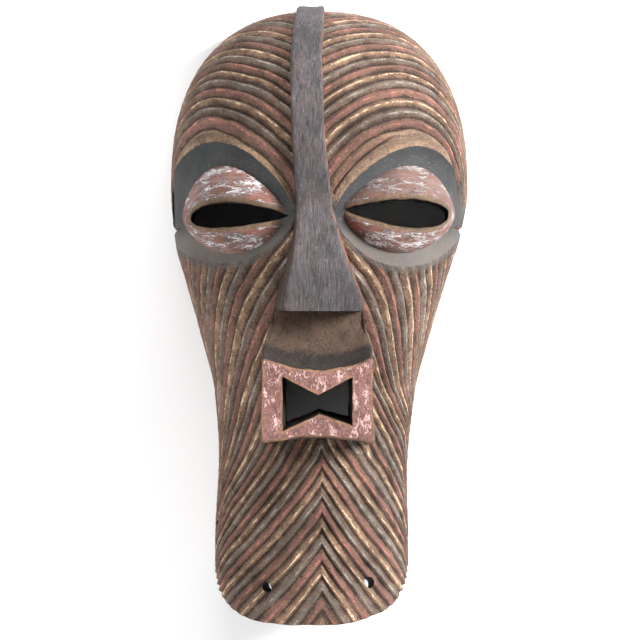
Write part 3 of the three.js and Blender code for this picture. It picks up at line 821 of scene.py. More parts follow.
@dataclass
class EyeCarving:
    """One eye: the sunk socket, the swollen lids that rise from its floor, and the slit through them."""

    shell: Shell
    eye: Eye
    socket_depth: float = 6.0
    start: float = 1.2
    bulge: float = 15.0
    rim_width: float = 3.2
    rim_drop: float = 1.8

    def over(self, lens: Lens, floor: Height, roof: Height) -> Surface:
        """The solid over a lens between two heights, both measured square to the shell.

        Args:
            lens: the oval it covers.
            floor: the lower height as a function of the lens's two parameters.
            roof: the upper height.
        Returns:
            The surface, its carving map holding how far along it lies and how far beyond the slit.
        """
        t = (0.5 - 0.5 * np.cos(np.linspace(0, np.pi, 111)))[:, None]
        t = lens.part * (0.5 * t + 0.5 * np.linspace(0, 1, 111)[:, None])
        u = np.sin(np.linspace(-np.pi / 2, np.pi / 2, 75))[None]
        x, y, travelled = self.eye.place(lens, t, u)
        low = self.shell.raised(x, y, floor(t, u) + 0 * x)
        high = self.shell.raised(x, y, roof(t, u) + 0 * x)
        chart = np.stack([travelled, self.eye.beyond(self.eye.slit, x, y)], -1) / PHASE_SCALE
        loops = np.concatenate([high[:, ::-1], low], axis=1)
        charts = np.concatenate([chart[:, ::-1], chart], axis=1)
        if self.eye.along[0] < 0:
            loops, charts = loops[::-1], charts[::-1]
        return loft(loops, charts)

    def socket(self) -> Surface:
        """What is hollowed out: a bowl whose floor dips as 1 - u^4 between its two edges."""
        dip = self.socket_depth + self.start
        lens = self.eye.socket

        def floor(t: Array, u: Array) -> Array:
            """The bowl's floor."""
            upper = smooth_step(-0.6, 0.6, u)
            share = lens.share(t, np.ones_like(u)) * upper + lens.share(t, -np.ones_like(u)) * (1 - upper)
            return self.start - dip * np.maximum(0, 1 - u**4) * share

        return self.over(lens, floor, lambda t, u: 2 * self.bulge + 0 * t * u)

    def lids(self) -> Surface:
        """The lids: a swelling as (1 - u^2)^0.6, bevelled down to the slit."""
        lens = self.eye.lids

        def roof(t: Array, u: Array) -> Array:
            """The lids' outer surface."""
            x, y = self.eye.place(lens, t, u)[:2]
            swell = np.maximum(0, 1 - u * u) ** 0.6 * lens.share(t, np.ones_like(u)) ** 0.7
            rim = np.clip(1 - self.eye.beyond(self.eye.slit, x, y) / self.rim_width, 0, 1.6)
            places = np.stack([x, y, 0 * x], -1)
            uneven = 0.25 * soft_noise(places, 12.0, 41) + 0.14 * soft_noise(places * [0.6, 1.3, 1], 4.5, 42)
            height = (self.bulge + self.socket_depth) * swell - self.socket_depth
            return height - self.rim_drop * rim + uneven * swell

        return self.over(lens, lambda t, u: 1.0 - self.shell.front_wall + 0 * t * u, roof)

    def slit(self) -> Surface:
        """The slit: its oval carried straight along z."""
        t = 0.5 - 0.5 * np.cos(np.linspace(0, np.pi, 71))
        lower = self.eye.place(self.eye.slit, t, -np.ones_like(t))
        upper = self.eye.place(self.eye.slit, t, np.ones_like(t))
        x = np.concatenate([lower[0], upper[0][::-1]])
        y = np.concatenate([lower[1], upper[1][::-1]])
        if self.eye.along[0] < 0:
            x, y = x[::-1], y[::-1]
        z = np.linspace(20.0, 168.0, 75)[:, None]
        points = np.stack([x + 0 * z, y + 0 * z, z + 0 * x], -1)
        points[..., :2] += 0.3 * np.stack([soft_noise(points, 10.0, 43), soft_noise(points, 10.0, 44)], -1)
        return loft(points)


@dataclass
class Trimming:
    """What is cut off or bored through at the end: the slanted chin, the flat rim and the tie holes."""

    shell: Shell
    chin_y: float = -222.5
    rise: float = 42.0
    tilt: float = 0.018
    jaw_depth: float = 111.0
    hole_radius: float = 3.8
    left_hole: tuple[float, float] = (-39.2, -195.0)
    left_slant: tuple[float, float, float] = (-0.34, 0, 1)
    right_hole: tuple[float, float] = (36.3, -192.0)
    right_slant: tuple[float, float, float] = (0.26, 0.2, 1)
    nail: tuple[float, float] = (-13.4, -186.6)
    side_y: float = -155.0
    side_z: float = 34.0

    def chin(self) -> Surface:
        """Everything below the chin cut: its profile in y and z carried across the face."""
        z = np.linspace(-18.0, 151.0, 80)
        behind = 1 - np.clip(z / self.jaw_depth, 0, 1)
        x = np.linspace(-170, 170, 120)[:, None]
        cut = self.chin_y + self.rise * behind**1.25 + self.tilt * x
        ends = np.array([[self.chin_y - 80.0, 151.0], [self.chin_y - 80.0, -18.0]])
        y = np.concatenate([cut, np.repeat(ends[None, :, 0], len(x), 0)], 1)
        zs = np.repeat(np.concatenate([z, ends[:, 1]])[None], len(x), 0)
        points = np.stack([x + 0 * y, y, zs], -1)
        face = points[:, :80]
        face[..., 1] += 0.5 * soft_noise(face, 18.0, 51) + 0.2 * soft_noise(face, 5.0, 52)
        return loft(points)

    def rim(self) -> Surface:
        """Everything below the rim plane: a slab."""
        corners = np.array([[-300, -300], [300, -300], [300, 300], [-300, 300]], float)
        points = np.stack([np.c_[corners, np.full(4, level)] for level in (-40.0, 0.0)])
        return loft(points)

    def bore(
        self,
        middle: tuple[float, float, float],
        direction: tuple[float, float, float],
        radius: float,
        ends: tuple[float, float] = (-30.0, 30.0),
    ) -> Surface:
        """A slightly uneven round bore: a circle carried along a straight line.

        Args:
            middle: the place that its ends are measured from.
            direction: its line.
            radius: its rough radius.
            ends: where on the line it starts and stops.
        Returns:
            The closed surface.
        """
        axis = Vector(direction).normalized()
        turn = np.array(axis.to_track_quat("Z", "Y").to_matrix())
        angle = np.linspace(0, 2 * np.pi, 29)[:-1]
        along = np.linspace(*ends, 31)[:, None]
        size = radius * (1 + 0.07 * np.sin(2 * angle + 0.6) + 0.04 * np.sin(3 * angle))
        x, y = size * np.cos(angle), size * np.sin(angle)
        ring = np.stack([x + 0 * along, y + 0 * along, along + 0 * angle], -1)
        return loft(ring @ turn.T + np.array(middle))

    def holes(self) -> list[Surface]:
        """The slanted front pair, the pair through the side walls, a gouge and a nail hole."""
        places = (self.left_hole, self.right_hole, self.nail)
        left, right, nail = ((*place, float(self.shell.height(*place))) for place in places)
        made = [
            self.bore(left, self.left_slant, self.hole_radius),
            self.bore(right, self.right_slant, self.hole_radius + 0.4),
            self.bore((right[0] + 4.6, right[1] - 5.4, right[2] + 1.0), (0.5, -0.6, 1), 2.6, (-3.0, 8.0)),
            self.bore(nail, (0, 0, 1), 0.75, (-6.0, 6.0)),
        ]
        for side in (-1, 1):
            x = float(self.shell.centre(self.side_y)) + side * float(self.shell.half_width(self.side_y))
            made.append(self.bore((x, self.side_y, self.side_z), (side, 0, 0), self.hole_radius))
        return made


class NodeWork:
    """Adds nodes to one tree; each call returns the socket that it makes."""

    def __init__(self, tree: bpy.types.NodeTree) -> None:
        """Works on this tree."""
        self.tree = tree

    def add(self, kind: str, out: int | str, feeds: dict, **settings: object) -> Socket:
        """Adds a node.

        Args:
            kind: its type, without the ShaderNode in front.
            out: which output to return.
            feeds: for each input, by name or number, a value or a socket to link.
            settings: the node's own properties.
        Returns:
            The output socket.
        """
        node = self.tree.nodes.new("ShaderNode" + kind)
        for name, value in settings.items():
            setattr(node, name, value)
        for key, value in feeds.items():
            socket = node.inputs[key]
            if isinstance(value, Socket):
                self.tree.links.new(value, socket)
            else:
                socket.default_value = value
        return node.outputs[out]

    def math(self, operation: str, a: object, b: object = 0.0) -> Socket:
        """One sum on two values."""
        return self.add("Math", 0, {0: a, 1: b}, operation=operation)

    def times(self, a: object, b: object) -> Socket:
        """Two values multiplied."""
        return self.math("MULTIPLY", a, b)

    def plus(self, a: object, b: object) -> Socket:
        """Two values added."""
        return self.math("ADD", a, b)

    def minus(self, a: object, b: object) -> Socket:
        """The second value taken from the first."""
        return self.math("SUBTRACT", a, b)

    def larger(self, a: object, b: object) -> Socket:
        """The larger of two values."""
        return self.math("MAXIMUM", a, b)

    def mix(self, share: object, a: object, b: object) -> Socket:
        """Two colours mixed: the first at a share of 0, the second at 1."""
        return self.add("Mix", 2, {0: share, 6: a, 7: b}, data_type="RGBA")

    def coat(self, under: object, over: object, mask: object, strength: object) -> Socket:
        """A colour over another, where a mask times a strength is 1."""
        return self.mix(self.times(mask, strength), under, over)

    def step(
        self, value: object, low: float, high: float, to_low: float = 0.0, to_high: float = 1.0
    ) -> Socket:
        """A smooth change from to_low to to_high as a value goes from low to high."""
        feeds = {0: value, 1: low, 2: high, 3: to_low, 4: to_high}
        return self.add("MapRange", 0, feeds, interpolation_type="SMOOTHSTEP")

    def noise(
        self, place: object, scale: float, detail: float = 3.0, rough: float = 0.55, bend: float = 0.0
    ) -> Socket:
        """Noise from 0 to 1 about a half."""
        feeds = {"Vector": place, "Scale": scale, "Detail": detail, "Roughness": rough, "Distortion": bend}
        return self.add("TexNoise", 0, feeds)

    def stretched(self, place: object, x: float, y: float, z: float) -> Socket:
        """A place scaled along each axis."""
        return self.add("VectorMath", 0, {0: place, 1: (x, y, z)}, operation="MULTIPLY")

    def axes(self, place: object) -> tuple[Socket, ...]:
        """The x, y and z of a place."""
        split = self.tree.nodes.new("ShaderNodeSeparateXYZ")
        self.tree.links.new(place, split.inputs[0])
        return tuple(split.outputs)

    def where(self) -> Socket:
        """The place on the piece in metres."""
        return self.add("TexCoord", "Object", {})

    def chart(self) -> tuple[Socket, Socket]:
        """The two values of the carving map, in ridge counts or millimetres."""
        node = self.tree.nodes.new("ShaderNodeUVMap")
        node.uv_map = "carving"
        big = self.add("VectorMath", 0, {0: node.outputs[0], 1: (PHASE_SCALE,) * 3}, operation="MULTIPLY")
        return self.axes(big)[:2]


class Effect(Enum):
    """The node groups that several finishes share."""

    PATINA = "patina"
    SCRATCHES = "scratches"


def new_group(
    effect: Effect, takes: dict[str, str], gives: dict[str, str]
) -> tuple[NodeWork, dict[str, Socket], bpy.types.Node]:
    """Starts a node group with named sockets.

    Args:
        effect: which group it is.
        takes: the name and kind of each input.
        gives: the same for each output.
    Returns:
        The tree to work on, its input sockets by name, and its output node.
    """
    tree = bpy.data.node_groups.new(effect.value, "ShaderNodeTree")
    for name, kind in takes.items():
        tree.interface.new_socket(name=name, in_out="INPUT", socket_type="NodeSocket" + kind)
    for name, kind in gives.items():
        tree.interface.new_socket(name=name, in_out="OUTPUT", socket_type="NodeSocket" + kind)
    source = tree.nodes.new("NodeGroupInput")
    return NodeWork(tree), {s.name: s for s in source.outputs if s.name}, tree.nodes.new("NodeGroupOutput")


def make_patina() -> bpy.types.NodeTree:
    """Age on any finish: slow darker and paler clouds, fine dark pores, pale specks, and their height."""
    work, given, end = new_group(
        Effect.PATINA,
        {"Color": "Color", "Place": "Vector", "Strength": "Float"},
        {"Color": "Color", "Height": "Float"},
    )
    place = given["Place"]
    clouds = work.noise(place, 28.0, 4.0, 0.6)
    dark = work.step(clouds, 0.35, 0.68, 0.72, 1.12)
    soft = work.times(work.minus(dark, 1.0), given["Strength"])
    tone = work.plus(soft, 1.0)
    color = work.add("VectorMath", 0, {0: given["Color"], "Scale": tone}, operation="SCALE")
    grain = work.noise(work.stretched(place, 1.0, 0.25, 1.0), 900.0, 3.0, 0.6)
    pores = work.times(work.step(work.noise(place, 520.0, 2.0), 0.62, 0.74), given["Strength"])
    color = work.coat(color, linear(38, 30, 27), pores, 0.7)
    dust = work.step(work.noise(place, 760.0, 2.0, 0.6), 0.66, 0.78)
    color = work.coat(color, linear(196, 178, 160), dust, 0.35)
    height = work.minus(work.times(grain, 0.6), work.times(pores, 0.7))
    work.tree.links.new(color, end.inputs["Color"])
    work.tree.links.new(height, end.inputs["Height"])
    return work.tree


def make_scratches() -> bpy.types.NodeTree:
    """Dry-brush strokes: noise drawn out along the strokes, broken by slower noise, as a mask."""
    work, given, end = new_group(
        Effect.SCRATCHES,
        {"Strokes": "Vector", "Patches": "Vector", "Cover": "Float"},
        {"Mask": "Float", "Height": "Float"},
    )
    lines = work.noise(given["Strokes"], 1.0, 4.0, 0.65, 0.6)
    patches = work.noise(given["Patches"], 1.0, 3.0, 0.6, 0.4)
    total = work.plus(work.times(lines, 0.6), work.times(patches, 0.55))
    total = work.plus(total, given["Cover"])
    mask = work.step(total, 0.605, 0.645)
    work.tree.links.new(mask, end.inputs["Mask"])
    work.tree.links.new(work.plus(work.times(lines, 0.6), mask), end.inputs["Height"])
    return work.tree


def make_effects() -> dict[Effect, bpy.types.NodeTree]:
    """Builds each shared node group once."""
    return {Effect.PATINA: make_patina(), Effect.SCRATCHES: make_scratches()}


@dataclass
class Finish:
    """A painted or bare finish: a name, a roughness and how deep its fine relief is."""

    effects: dict[Effect, bpy.types.NodeTree]
    name: str = "finish"
    roughness: float = 0.8
    relief: float = 0.0004

    def color(self, work: NodeWork) -> tuple[Socket, Socket | float]:
        """The colour and an extra height; each finish has its own."""
        raise NotImplementedError

    def use(self, work: NodeWork, effect: Effect, feeds: dict) -> bpy.types.Node:
        """Adds one of the shared groups to a material and feeds it.

        Args:
            work: the material's tree.
            effect: which group.
            feeds: for each of its inputs, by name, a value or a socket to link.
        Returns:
            The group's node.
        """
        node = work.tree.nodes.new("ShaderNodeGroup")
        node.node_tree = self.effects[effect]
        for key, value in feeds.items():
            if isinstance(value, Socket):
                work.tree.links.new(value, node.inputs[key])
            else:
                node.inputs[key].default_value = value
        return node

    def build(self, age: float = 1.0) -> bpy.types.Material:
        """Makes the material: its colour under the patina, and a bump from both heights.

        Args:
            age: how strongly the patina shows.
        Returns:
            The material.
        """
        material = bpy.data.materials.new(self.name)
        material.use_nodes = True
        tree = material.node_tree
        tree.nodes.clear()
        work = NodeWork(tree)
        color, height = self.color(work)
        aged = self.use(work, Effect.PATINA, {"Color": color, "Place": work.where(), "Strength": age})
        total = work.plus(aged.outputs["Height"], height)
        bump = work.add("Bump", 0, {"Strength": 1.0, "Distance": self.relief, "Height": total})
        shader = work.add(
            "BsdfPrincipled",
            0,
            {
                "Base Color": aged.outputs["Color"],
                "Roughness": self.roughness,
                "Specular IOR Level": 0.25,
                "Normal": bump,
            },
        )
        end = tree.nodes.new("ShaderNodeOutputMaterial")
        tree.links.new(shader, end.inputs["Surface"])
        return material


@dataclass
class Wear:
    """Where a point of the ridges is, and the noises there that break up every coat of paint."""

    count: Socket  # the running ridge count
    border: Socket  # millimetres beyond the sockets
    place: Socket
    away: Socket  # 0 on a ridge's crest, 1 in its grooves
    slow: Socket
    quick: Socket
    ragged: Socket  # slow and quick together
    worn: Socket
    strands: Socket


@dataclass
class StripedPaint(Finish):
    """Earth paint on the ridges, cream, red and grey in turn, worn to wood; grime and painted shade in the
    grooves, painted highlights on the crests.
    """

    name: str = "striped_earth_paint"
    roughness: float = 0.82
    relief: float = 0.0007
    # The crest and the line colours here are painted highlights: lighter copies of the three paints, laid
    # along the crests.
    cream: tuple = linear(134, 108, 87)
    cream_crest_highlight: tuple = linear(208, 178, 144)
    red: tuple = linear(118, 83, 75)
    red_crest_highlight: tuple = linear(144, 98, 87)
    grey: tuple = linear(104, 96, 88)
    grey_crest_highlight: tuple = linear(134, 124, 116)
    cream_highlight_line: tuple = linear(218, 190, 158)
    red_highlight_line: tuple = linear(172, 114, 100)
    grey_highlight_line: tuple = linear(152, 146, 138)
    wood: tuple = linear(108, 82, 68)
    # The next two colours are partly grime and partly painted shade: the first darkens the flanks towards the
    # grooves and the knife marks, the second is the dark line in the grooves and the dark grit.
    dirt_and_shade: tuple = linear(70, 54, 46)
    groove: tuple = linear(42, 32, 28)
    brow: tuple = linear(112, 92, 76)
    right_brow: tuple = linear(128, 106, 90)
    beside_brow: tuple = linear(128, 96, 82)
    ochre: tuple = linear(154, 126, 100)
    border: tuple = linear(84, 80, 76)

    def color(self, work: NodeWork) -> tuple[Socket, Socket]:
        """Paint on the ridges and over the eyes, grime and painted shade in the grooves, and fine grit over
        it all.

        Args:
            work: the material's tree.
        Returns:
            The colour and the height.
        """
        wear = self.wear(work)
        x, y = work.axes(wear.place)[:2]
        inner = work.times(work.step(x, 0.008, 0.012), work.step(x, 0.058, 0.046))
        apart = work.plus(wear.border, work.times(wear.ragged, 0.8))
        on_brow = work.math("LESS_THAN", wear.count, 1.0)
        brow = work.mix(work.math("GREATER_THAN", x, 0.0), self.brow, self.right_brow)
        brow = work.coat(brow, self.beside_brow, work.step(apart, 8.2, 9.2), inner)
        brow = self.over_eyes(work, wear, brow)
        brow = work.mix(work.step(y, 0.084, 0.071), brow, self.border)
        color = work.mix(on_brow, self.ridge(work, wear), brow)
        # Dark lines at the foot of the brow, beside the bead and in every groove: grime, and painted shade in
        # the hollows.
        gap = work.times(work.step(apart, 7.2, 8.2), work.step(apart, 10.0, 9.0))
        foot = work.larger(work.step(wear.count, 0.82, 0.98), work.times(gap, inner))
        foot = work.times(on_brow, foot)
        depth = work.plus(wear.away, work.times(wear.ragged, 0.3))
        groove = work.times(work.minus(1.0, on_brow), work.step(depth, 0.76, 1.0))
        color = work.coat(color, self.groove, work.larger(groove, foot), 0.8)
        below = work.times(work.step(wear.border, 5.0, 0.5), work.math("GREATER_THAN", wear.count, 30.0))
        color = work.coat(color, self.border, below, 0.75)
        corner = work.times(work.step(wear.border, 3.0, 1.5), work.step(y, 0.078, 0.073))
        color = work.coat(color, self.border, corner, work.step(y, 0.060, 0.064))
        grit = work.noise(wear.place, 1500.0, 2.0, 0.7)
        color = work.coat(color, self.groove, work.step(grit, 0.54, 0.68), 0.35)
        color = work.coat(color, self.cream_crest_highlight, work.step(grit, 0.44, 0.32), 0.22)
        rough = work.plus(work.times(wear.strands, 2.4), work.times(wear.quick, 2.4))
        return color, work.plus(rough, work.times(grit, 0.8))

    def wear(self, work: NodeWork) -> Wear:
        """Works out the distances and noises that the coats share."""
        count, border = work.chart()
        place = work.where()
        slow = work.minus(work.noise(place, 90.0, 3.0), 0.5)
        quick = work.minus(work.noise(place, 620.0, 3.0, 0.65), 0.5)
        ragged = work.plus(work.times(slow, 1.6), work.times(quick, 1.0))
        away = work.times(work.math("ABSOLUTE", work.minus(work.math("FRACT", count), 0.5)), 2.0)
        worn = work.step(work.noise(place, 210.0, 5.0, 0.7), 0.44, 0.6)
        return Wear(count, border, place, away, slow, quick, ragged, worn, self.strands(work, count, place))

    def ridge(self, work: NodeWork, wear: Wear) -> Socket:
        """Picks each ridge's paint by its number, thins it down the flanks into grime and painted shade, and
        paints a highlight and a highlight line on the crest.

        Args:
            work: the material's tree.
            wear: what breaks the paint up.
        Returns:
            The colour.
        """
        number = work.math("FLOOR", wear.count)
        own = work.add("TexWhiteNoise", 0, {"W": number}, noise_dimensions="1D")
        which = work.math("MODULO", work.plus(number, 30.0), 3.0)
        is_cream, is_grey = work.math("LESS_THAN", which, 0.5), work.math("GREATER_THAN", which, 1.5)

        def pick(red: tuple, grey: tuple, cream: tuple) -> Socket:
            """The one of three colours that is this ridge's."""
            return work.mix(is_cream, work.mix(is_grey, red, grey), cream)

        far = work.plus(work.plus(wear.away, wear.ragged), work.times(work.minus(own, 0.5), 0.3))
        # Darker towards the grooves: grime, and painted shade of the recess between the crests.
        ground = work.mix(work.step(far, 0.35, 0.95), self.wood, self.dirt_and_shade)
        paint = work.mix(work.step(far, 0.85, 0.35), ground, pick(self.red, self.grey, self.cream))
        color = work.coat(paint, ground, wear.worn, 0.75)
        rubbed = work.step(work.noise(wear.place, 34.0, 4.0, 0.65), 0.50, 0.64)
        color = work.coat(color, self.wood, rubbed, 0.28)
        color = work.coat(color, self.dirt_and_shade, work.step(wear.strands, 0.52, 0.66), 0.45)
        # Painted highlight: lighter paint in patches near each crest.
        patches = work.step(work.noise(wear.place, 120.0, 4.0, 0.65), 0.46, 0.6)
        crest_highlight_mask = work.times(work.step(far, 0.34, 0.0), patches)
        crest_highlight_mask = work.times(crest_highlight_mask, work.step(wear.strands, 0.62, 0.46))
        color = work.coat(color, pick(self.red_crest_highlight, self.grey_crest_highlight, self.cream_crest_highlight), crest_highlight_mask, 0.6)
        # Painted highlight: a thin, broken line along each crest.
        thin = work.plus(work.plus(wear.away, work.times(wear.slow, 0.5)), work.times(wear.quick, 0.35))
        broken = work.step(work.noise(wear.place, 95.0, 4.0, 0.7), 0.46, 0.58)
        line = pick(self.red_highlight_line, self.grey_highlight_line, self.cream_highlight_line)
        return work.coat(color, line, work.step(thin, 0.20, 0.06), broken)

    def over_eyes(self, work: NodeWork, wear: Wear, brow: Socket) -> Socket:
        """Wears the paint over the eyes, with ochre left along its edges.

        Args:
            work: the material's tree.
            wear: what breaks the paint up.
            brow: the paint before it wore.
        Returns:
            The colour.
        """
        near = work.step(work.plus(wear.border, work.times(wear.ragged, 3.0)), 2.2, 0.4)
        top = work.step(work.plus(wear.count, work.times(wear.ragged, 0.16)), 0.54, 0.64)
        edge = work.times(work.larger(near, top), work.step(work.plus(wear.slow, wear.quick), -0.12, 0.1))
        brow = work.coat(brow, self.wood, wear.worn, 0.6)
        brow = work.coat(brow, self.dirt_and_shade, work.step(wear.strands, 0.5, 0.62), 0.4)
        return work.coat(brow, self.ochre, edge, 0.7)

    def strands(self, work: NodeWork, count: Socket, place: Socket) -> Socket:
        """Knife marks along the ridges: noise that changes fast across them and slowly along them."""
        x, y = work.axes(place)[:2]
        feeds = {0: work.times(count, 5.5), 1: work.times(x, 60.0), 2: work.times(y, 60.0)}
        return work.noise(work.add("CombineXYZ", 0, feeds), 1.0, 4.0, 0.6)


@dataclass
class SlatePaint(Finish):
    """Slate grey paint on the crest and nose, streaked along its length, over brown and reddish flanks."""

    name: str = "slate_paint"
    roughness: float = 0.74
    slate: tuple = linear(67, 64, 66)
    warm: tuple = linear(74, 66, 65)
    pale: tuple = linear(92, 88, 91)
    dark: tuple = linear(44, 42, 44)
    fleck: tuple = linear(112, 84, 77)
    flank: tuple = linear(56, 44, 39)
    rust: tuple = linear(116, 78, 64)

    def color(self, work: NodeWork) -> tuple[Socket, Socket]:
        """Streaks from noise drawn out along y, flecks from quick noise, and other paint on the flanks.

        Args:
            work: the material's tree.
        Returns:
            The colour and the height.
        """
        across, travelled = work.chart()
        place = work.where()
        streak = work.noise(work.stretched(place, 1000.0, 110.0, 260.0), 1.0, 4.0, 0.62)
        cloud = work.noise(place, 45.0, 3.0)
        color = work.mix(work.step(cloud, 0.35, 0.65), self.slate, self.warm)
        color = work.mix(work.step(streak, 0.5, 0.72), color, self.pale)
        color = work.mix(work.step(streak, 0.48, 0.3), color, self.dark)
        fleck = work.step(work.noise(place, 330.0, 3.0, 0.6), 0.62, 0.70)
        color = work.coat(color, self.fleck, fleck, 0.5)
        off = work.plus(work.math("ABSOLUTE", across), work.times(cloud, 0.02))
        side = work.step(off, 0.985, 1.03)
        above_nose = work.step(travelled, 330.0, 290.0)
        rusty = work.times(work.step(work.noise(place, 90.0, 3.0), 0.40, 0.52), above_nose)
        rusty = work.times(rusty, work.math("GREATER_THAN", across, 0.0))
        color = work.mix(side, color, work.mix(rusty, self.flank, self.rust))
        return color, streak


@dataclass
class SocketPaint(Finish):
    """Smooth dark grey-green paint in the sockets."""

    name: str = "socket_paint"
    roughness: float = 0.72
    relief: float = 0.0002
    tone: tuple = linear(42, 44, 45)
    light: tuple = linear(60, 61, 62)
    below: tuple = linear(84, 82, 80)
    rub: tuple = linear(96, 78, 66)

    def color(self, work: NodeWork) -> tuple[Socket, Socket]:
        """The dark tone with paler clouds, darker towards the socket's far edges as painted shade, most under
        the brow, and paler below the eyes.

        Args:
            work: the material's tree.
        Returns:
            The colour and the height.
        """
        beyond = work.chart()[1]
        place = work.where()
        y = work.axes(place)[1]
        # Painted shade: darker far from the slit, in the deep of the socket under the brow.
        cloud = work.plus(work.noise(place, 60.0, 4.0), work.step(beyond, 44.0, 26.0, -0.18, 0.12))
        streak = work.noise(work.stretched(place, 90.0, 700.0, 300.0), 1.0, 4.0, 0.6)
        lower = work.step(y, 0.064, 0.048)
        color = work.mix(work.times(work.step(cloud, 0.3, 0.7), 0.5), self.tone, self.light)
        mottled = work.step(work.noise(place, 170.0, 4.0, 0.68), 0.44, 0.6)
        color = work.mix(lower, color, work.mix(work.times(mottled, 0.5), self.below, self.rub))
        rubbed = work.times(work.step(streak, 0.52, 0.68), work.step(cloud, 0.4, 0.62))
        color = work.coat(color, self.rub, rubbed, 0.35)
        return color, streak


@dataclass
class LidPaint(Finish):
    """Terracotta lids with dry white strokes and an ochre rim at the slit."""

    name: str = "lid_paint"
    roughness: float = 0.8
    relief: float = 0.0006
    clay: tuple = linear(126, 80, 67)
    dusk: tuple = linear(98, 76, 69)
    white: tuple = linear(222, 217, 218)
    haze: tuple = linear(128, 119, 118)
    rim: tuple = linear(112, 91, 73)
    inner: tuple = linear(84, 68, 54)

    def color(self, work: NodeWork) -> tuple[Socket, Socket]:
        """White scratches over hazy clay, left off the rim that the carving map tells by its distance.

        Args:
            work: the material's tree.
        Returns:
            The colour and the height.
        """
        along, beyond = work.chart()
        place = work.where()
        drawn = work.add("CombineXYZ", 0, {0: along, 1: beyond})
        strokes = self.use(
            work,
            Effect.SCRATCHES,
            {
                "Strokes": work.stretched(drawn, 0.3, 2.8, 1.0),
                "Patches": work.stretched(drawn, 0.06, 0.2, 1.0),
                "Cover": 0.012,
            },
        )
        haze = work.step(work.noise(work.stretched(drawn, 0.05, 0.3, 1.0), 1.0, 4.0, 0.65), 0.47, 0.62)
        clay = work.mix(work.step(work.noise(place, 90.0, 3.0), 0.35, 0.65), self.clay, self.dusk)
        clay = work.coat(clay, self.haze, haze, 0.6)
        chips = work.noise(place, 650.0, 3.0, 0.7)
        white = work.times(strokes.outputs["Mask"], work.step(chips, 0.38, 0.47))
        color = work.coat(clay, self.white, white, 0.92)
        color = work.coat(color, self.inner, work.step(chips, 0.58, 0.66), 0.5)
        ragged = work.times(work.minus(work.noise(place, 300.0, 3.0), 0.5), 2.4)
        x, y = work.axes(place)[:2]
        right = work.times(work.step(x, 0.0, 0.04), work.step(y, 0.066, 0.074))
        color = work.coat(color, self.dusk, right, 0.6)
        edge = work.step(work.plus(beyond, ragged), 3.6, 2.7)
        color = work.mix(edge, color, self.rim)
        dark = work.times(work.step(beyond, 1.6, 0.2), 0.55)
        color = work.mix(dark, color, self.inner)
        return color, strokes.outputs["Height"]


@dataclass
class BrownWood(Finish):
    """Handled brown wood."""

    name: str = "handled_wood"
    roughness: float = 0.66
    relief: float = 0.0003
    tone: tuple = linear(98, 78, 64)
    warm: tuple = linear(128, 98, 74)
    dark: tuple = linear(62, 52, 46)

    def wood(self, work: NodeWork) -> tuple[Socket, Socket]:
        """Brown with warm and dark clouds and fine grain along y.

        Args:
            work: the material's tree.
        Returns:
            The colour and the height.
        """
        place = work.where()
        grain = work.noise(work.stretched(place, 700.0, 60.0, 700.0), 1.0, 4.0, 0.6)
        cloud = work.noise(place, 48.0, 3.0)
        color = work.mix(work.step(cloud, 0.45, 0.7), self.tone, self.warm)
        color = work.mix(work.step(cloud, 0.48, 0.25), color, self.dark)
        color = work.coat(color, self.dark, work.step(grain, 0.52, 0.7), 0.35)
        return color, grain

    def color(self, work: NodeWork) -> tuple[Socket, Socket]:
        """Nothing but the wood."""
        return self.wood(work)


@dataclass
class MouthPaint(BrownWood):
    """Dusty pink paint on the front of the mouth, with paler strokes, ochre edges and brown wood behind,
    darkened under the nose partly by dark paint and partly by painted shade.
    """

    name: str = "mouth_paint"
    roughness: float = 0.78
    relief: float = 0.0006
    rose: tuple = linear(130, 92, 84)
    shade: tuple = linear(100, 72, 67)
    pale: tuple = linear(206, 166, 162)
    ochre: tuple = linear(132, 98, 78)
    tone: tuple = linear(86, 69, 58)
    warm: tuple = linear(98, 78, 64)
    shelf_paint_and_shade: tuple = linear(38, 35, 33)
    shelf_height: float = 0.142

    def color(self, work: NodeWork) -> tuple[Socket, Socket]:
        """Told by the carving map: pink inside the front, ochre along its edges, wood behind them.

        Args:
            work: the material's tree.
        Returns:
            The colour and the height.
        """
        inside = work.chart()[1]
        place = work.where()
        z = work.axes(place)[2]
        strokes = self.use(
            work,
            Effect.SCRATCHES,
            {
                "Strokes": work.stretched(place, 1300.0, 460.0, 420.0),
                "Patches": work.stretched(place, 150.0, 90.0, 90.0),
                "Cover": 0.008,
            },
        )
        rose = work.mix(work.step(work.noise(place, 420.0, 4.0, 0.7), 0.42, 0.58), self.rose, self.shade)
        front = work.coat(rose, self.pale, strokes.outputs["Mask"], 0.85)
        slow = work.times(work.minus(work.noise(place, 120.0, 3.0), 0.5), 5.0)
        quick = work.times(work.minus(work.noise(place, 600.0, 2.0), 0.5), 2.0)
        reach = work.plus(inside, work.plus(slow, quick))
        wood, grain = self.wood(work)
        # A dark band on the wood just under the nose: partly dark paint, partly painted shade of the nose.
        dark = work.step(z, self.shelf_height - 0.006, self.shelf_height)
        wood = work.coat(wood, self.shelf_paint_and_shade, dark, 0.85)
        color = work.mix(work.step(work.plus(inside, quick), -3.0, -1.2), wood, self.ochre)
        color = work.mix(work.step(reach, 1.0, 1.9), color, front)
        return color, work.plus(strokes.outputs["Height"], work.times(grain, 0.3))


@dataclass
class RawWood(BrownWood):
    """The bare, adzed inside and the rim."""

    name: str = "bare_wood"
    roughness: float = 0.86
    relief: float = 0.0006
    tone: tuple = linear(40, 32, 27)
    warm: tuple = linear(54, 42, 33)
    dark: tuple = linear(24, 20, 18)


@dataclass
class BurntAndShadedWood(BrownWood):
    """The near-black walls of the tie holes: charred wood, and painted shade inside the bores."""

    name: str = "burnt_and_shaded_wood"
    roughness: float = 0.9
    tone: tuple = linear(34, 28, 25)
    warm: tuple = linear(52, 42, 35)
    dark: tuple = linear(18, 15, 14)


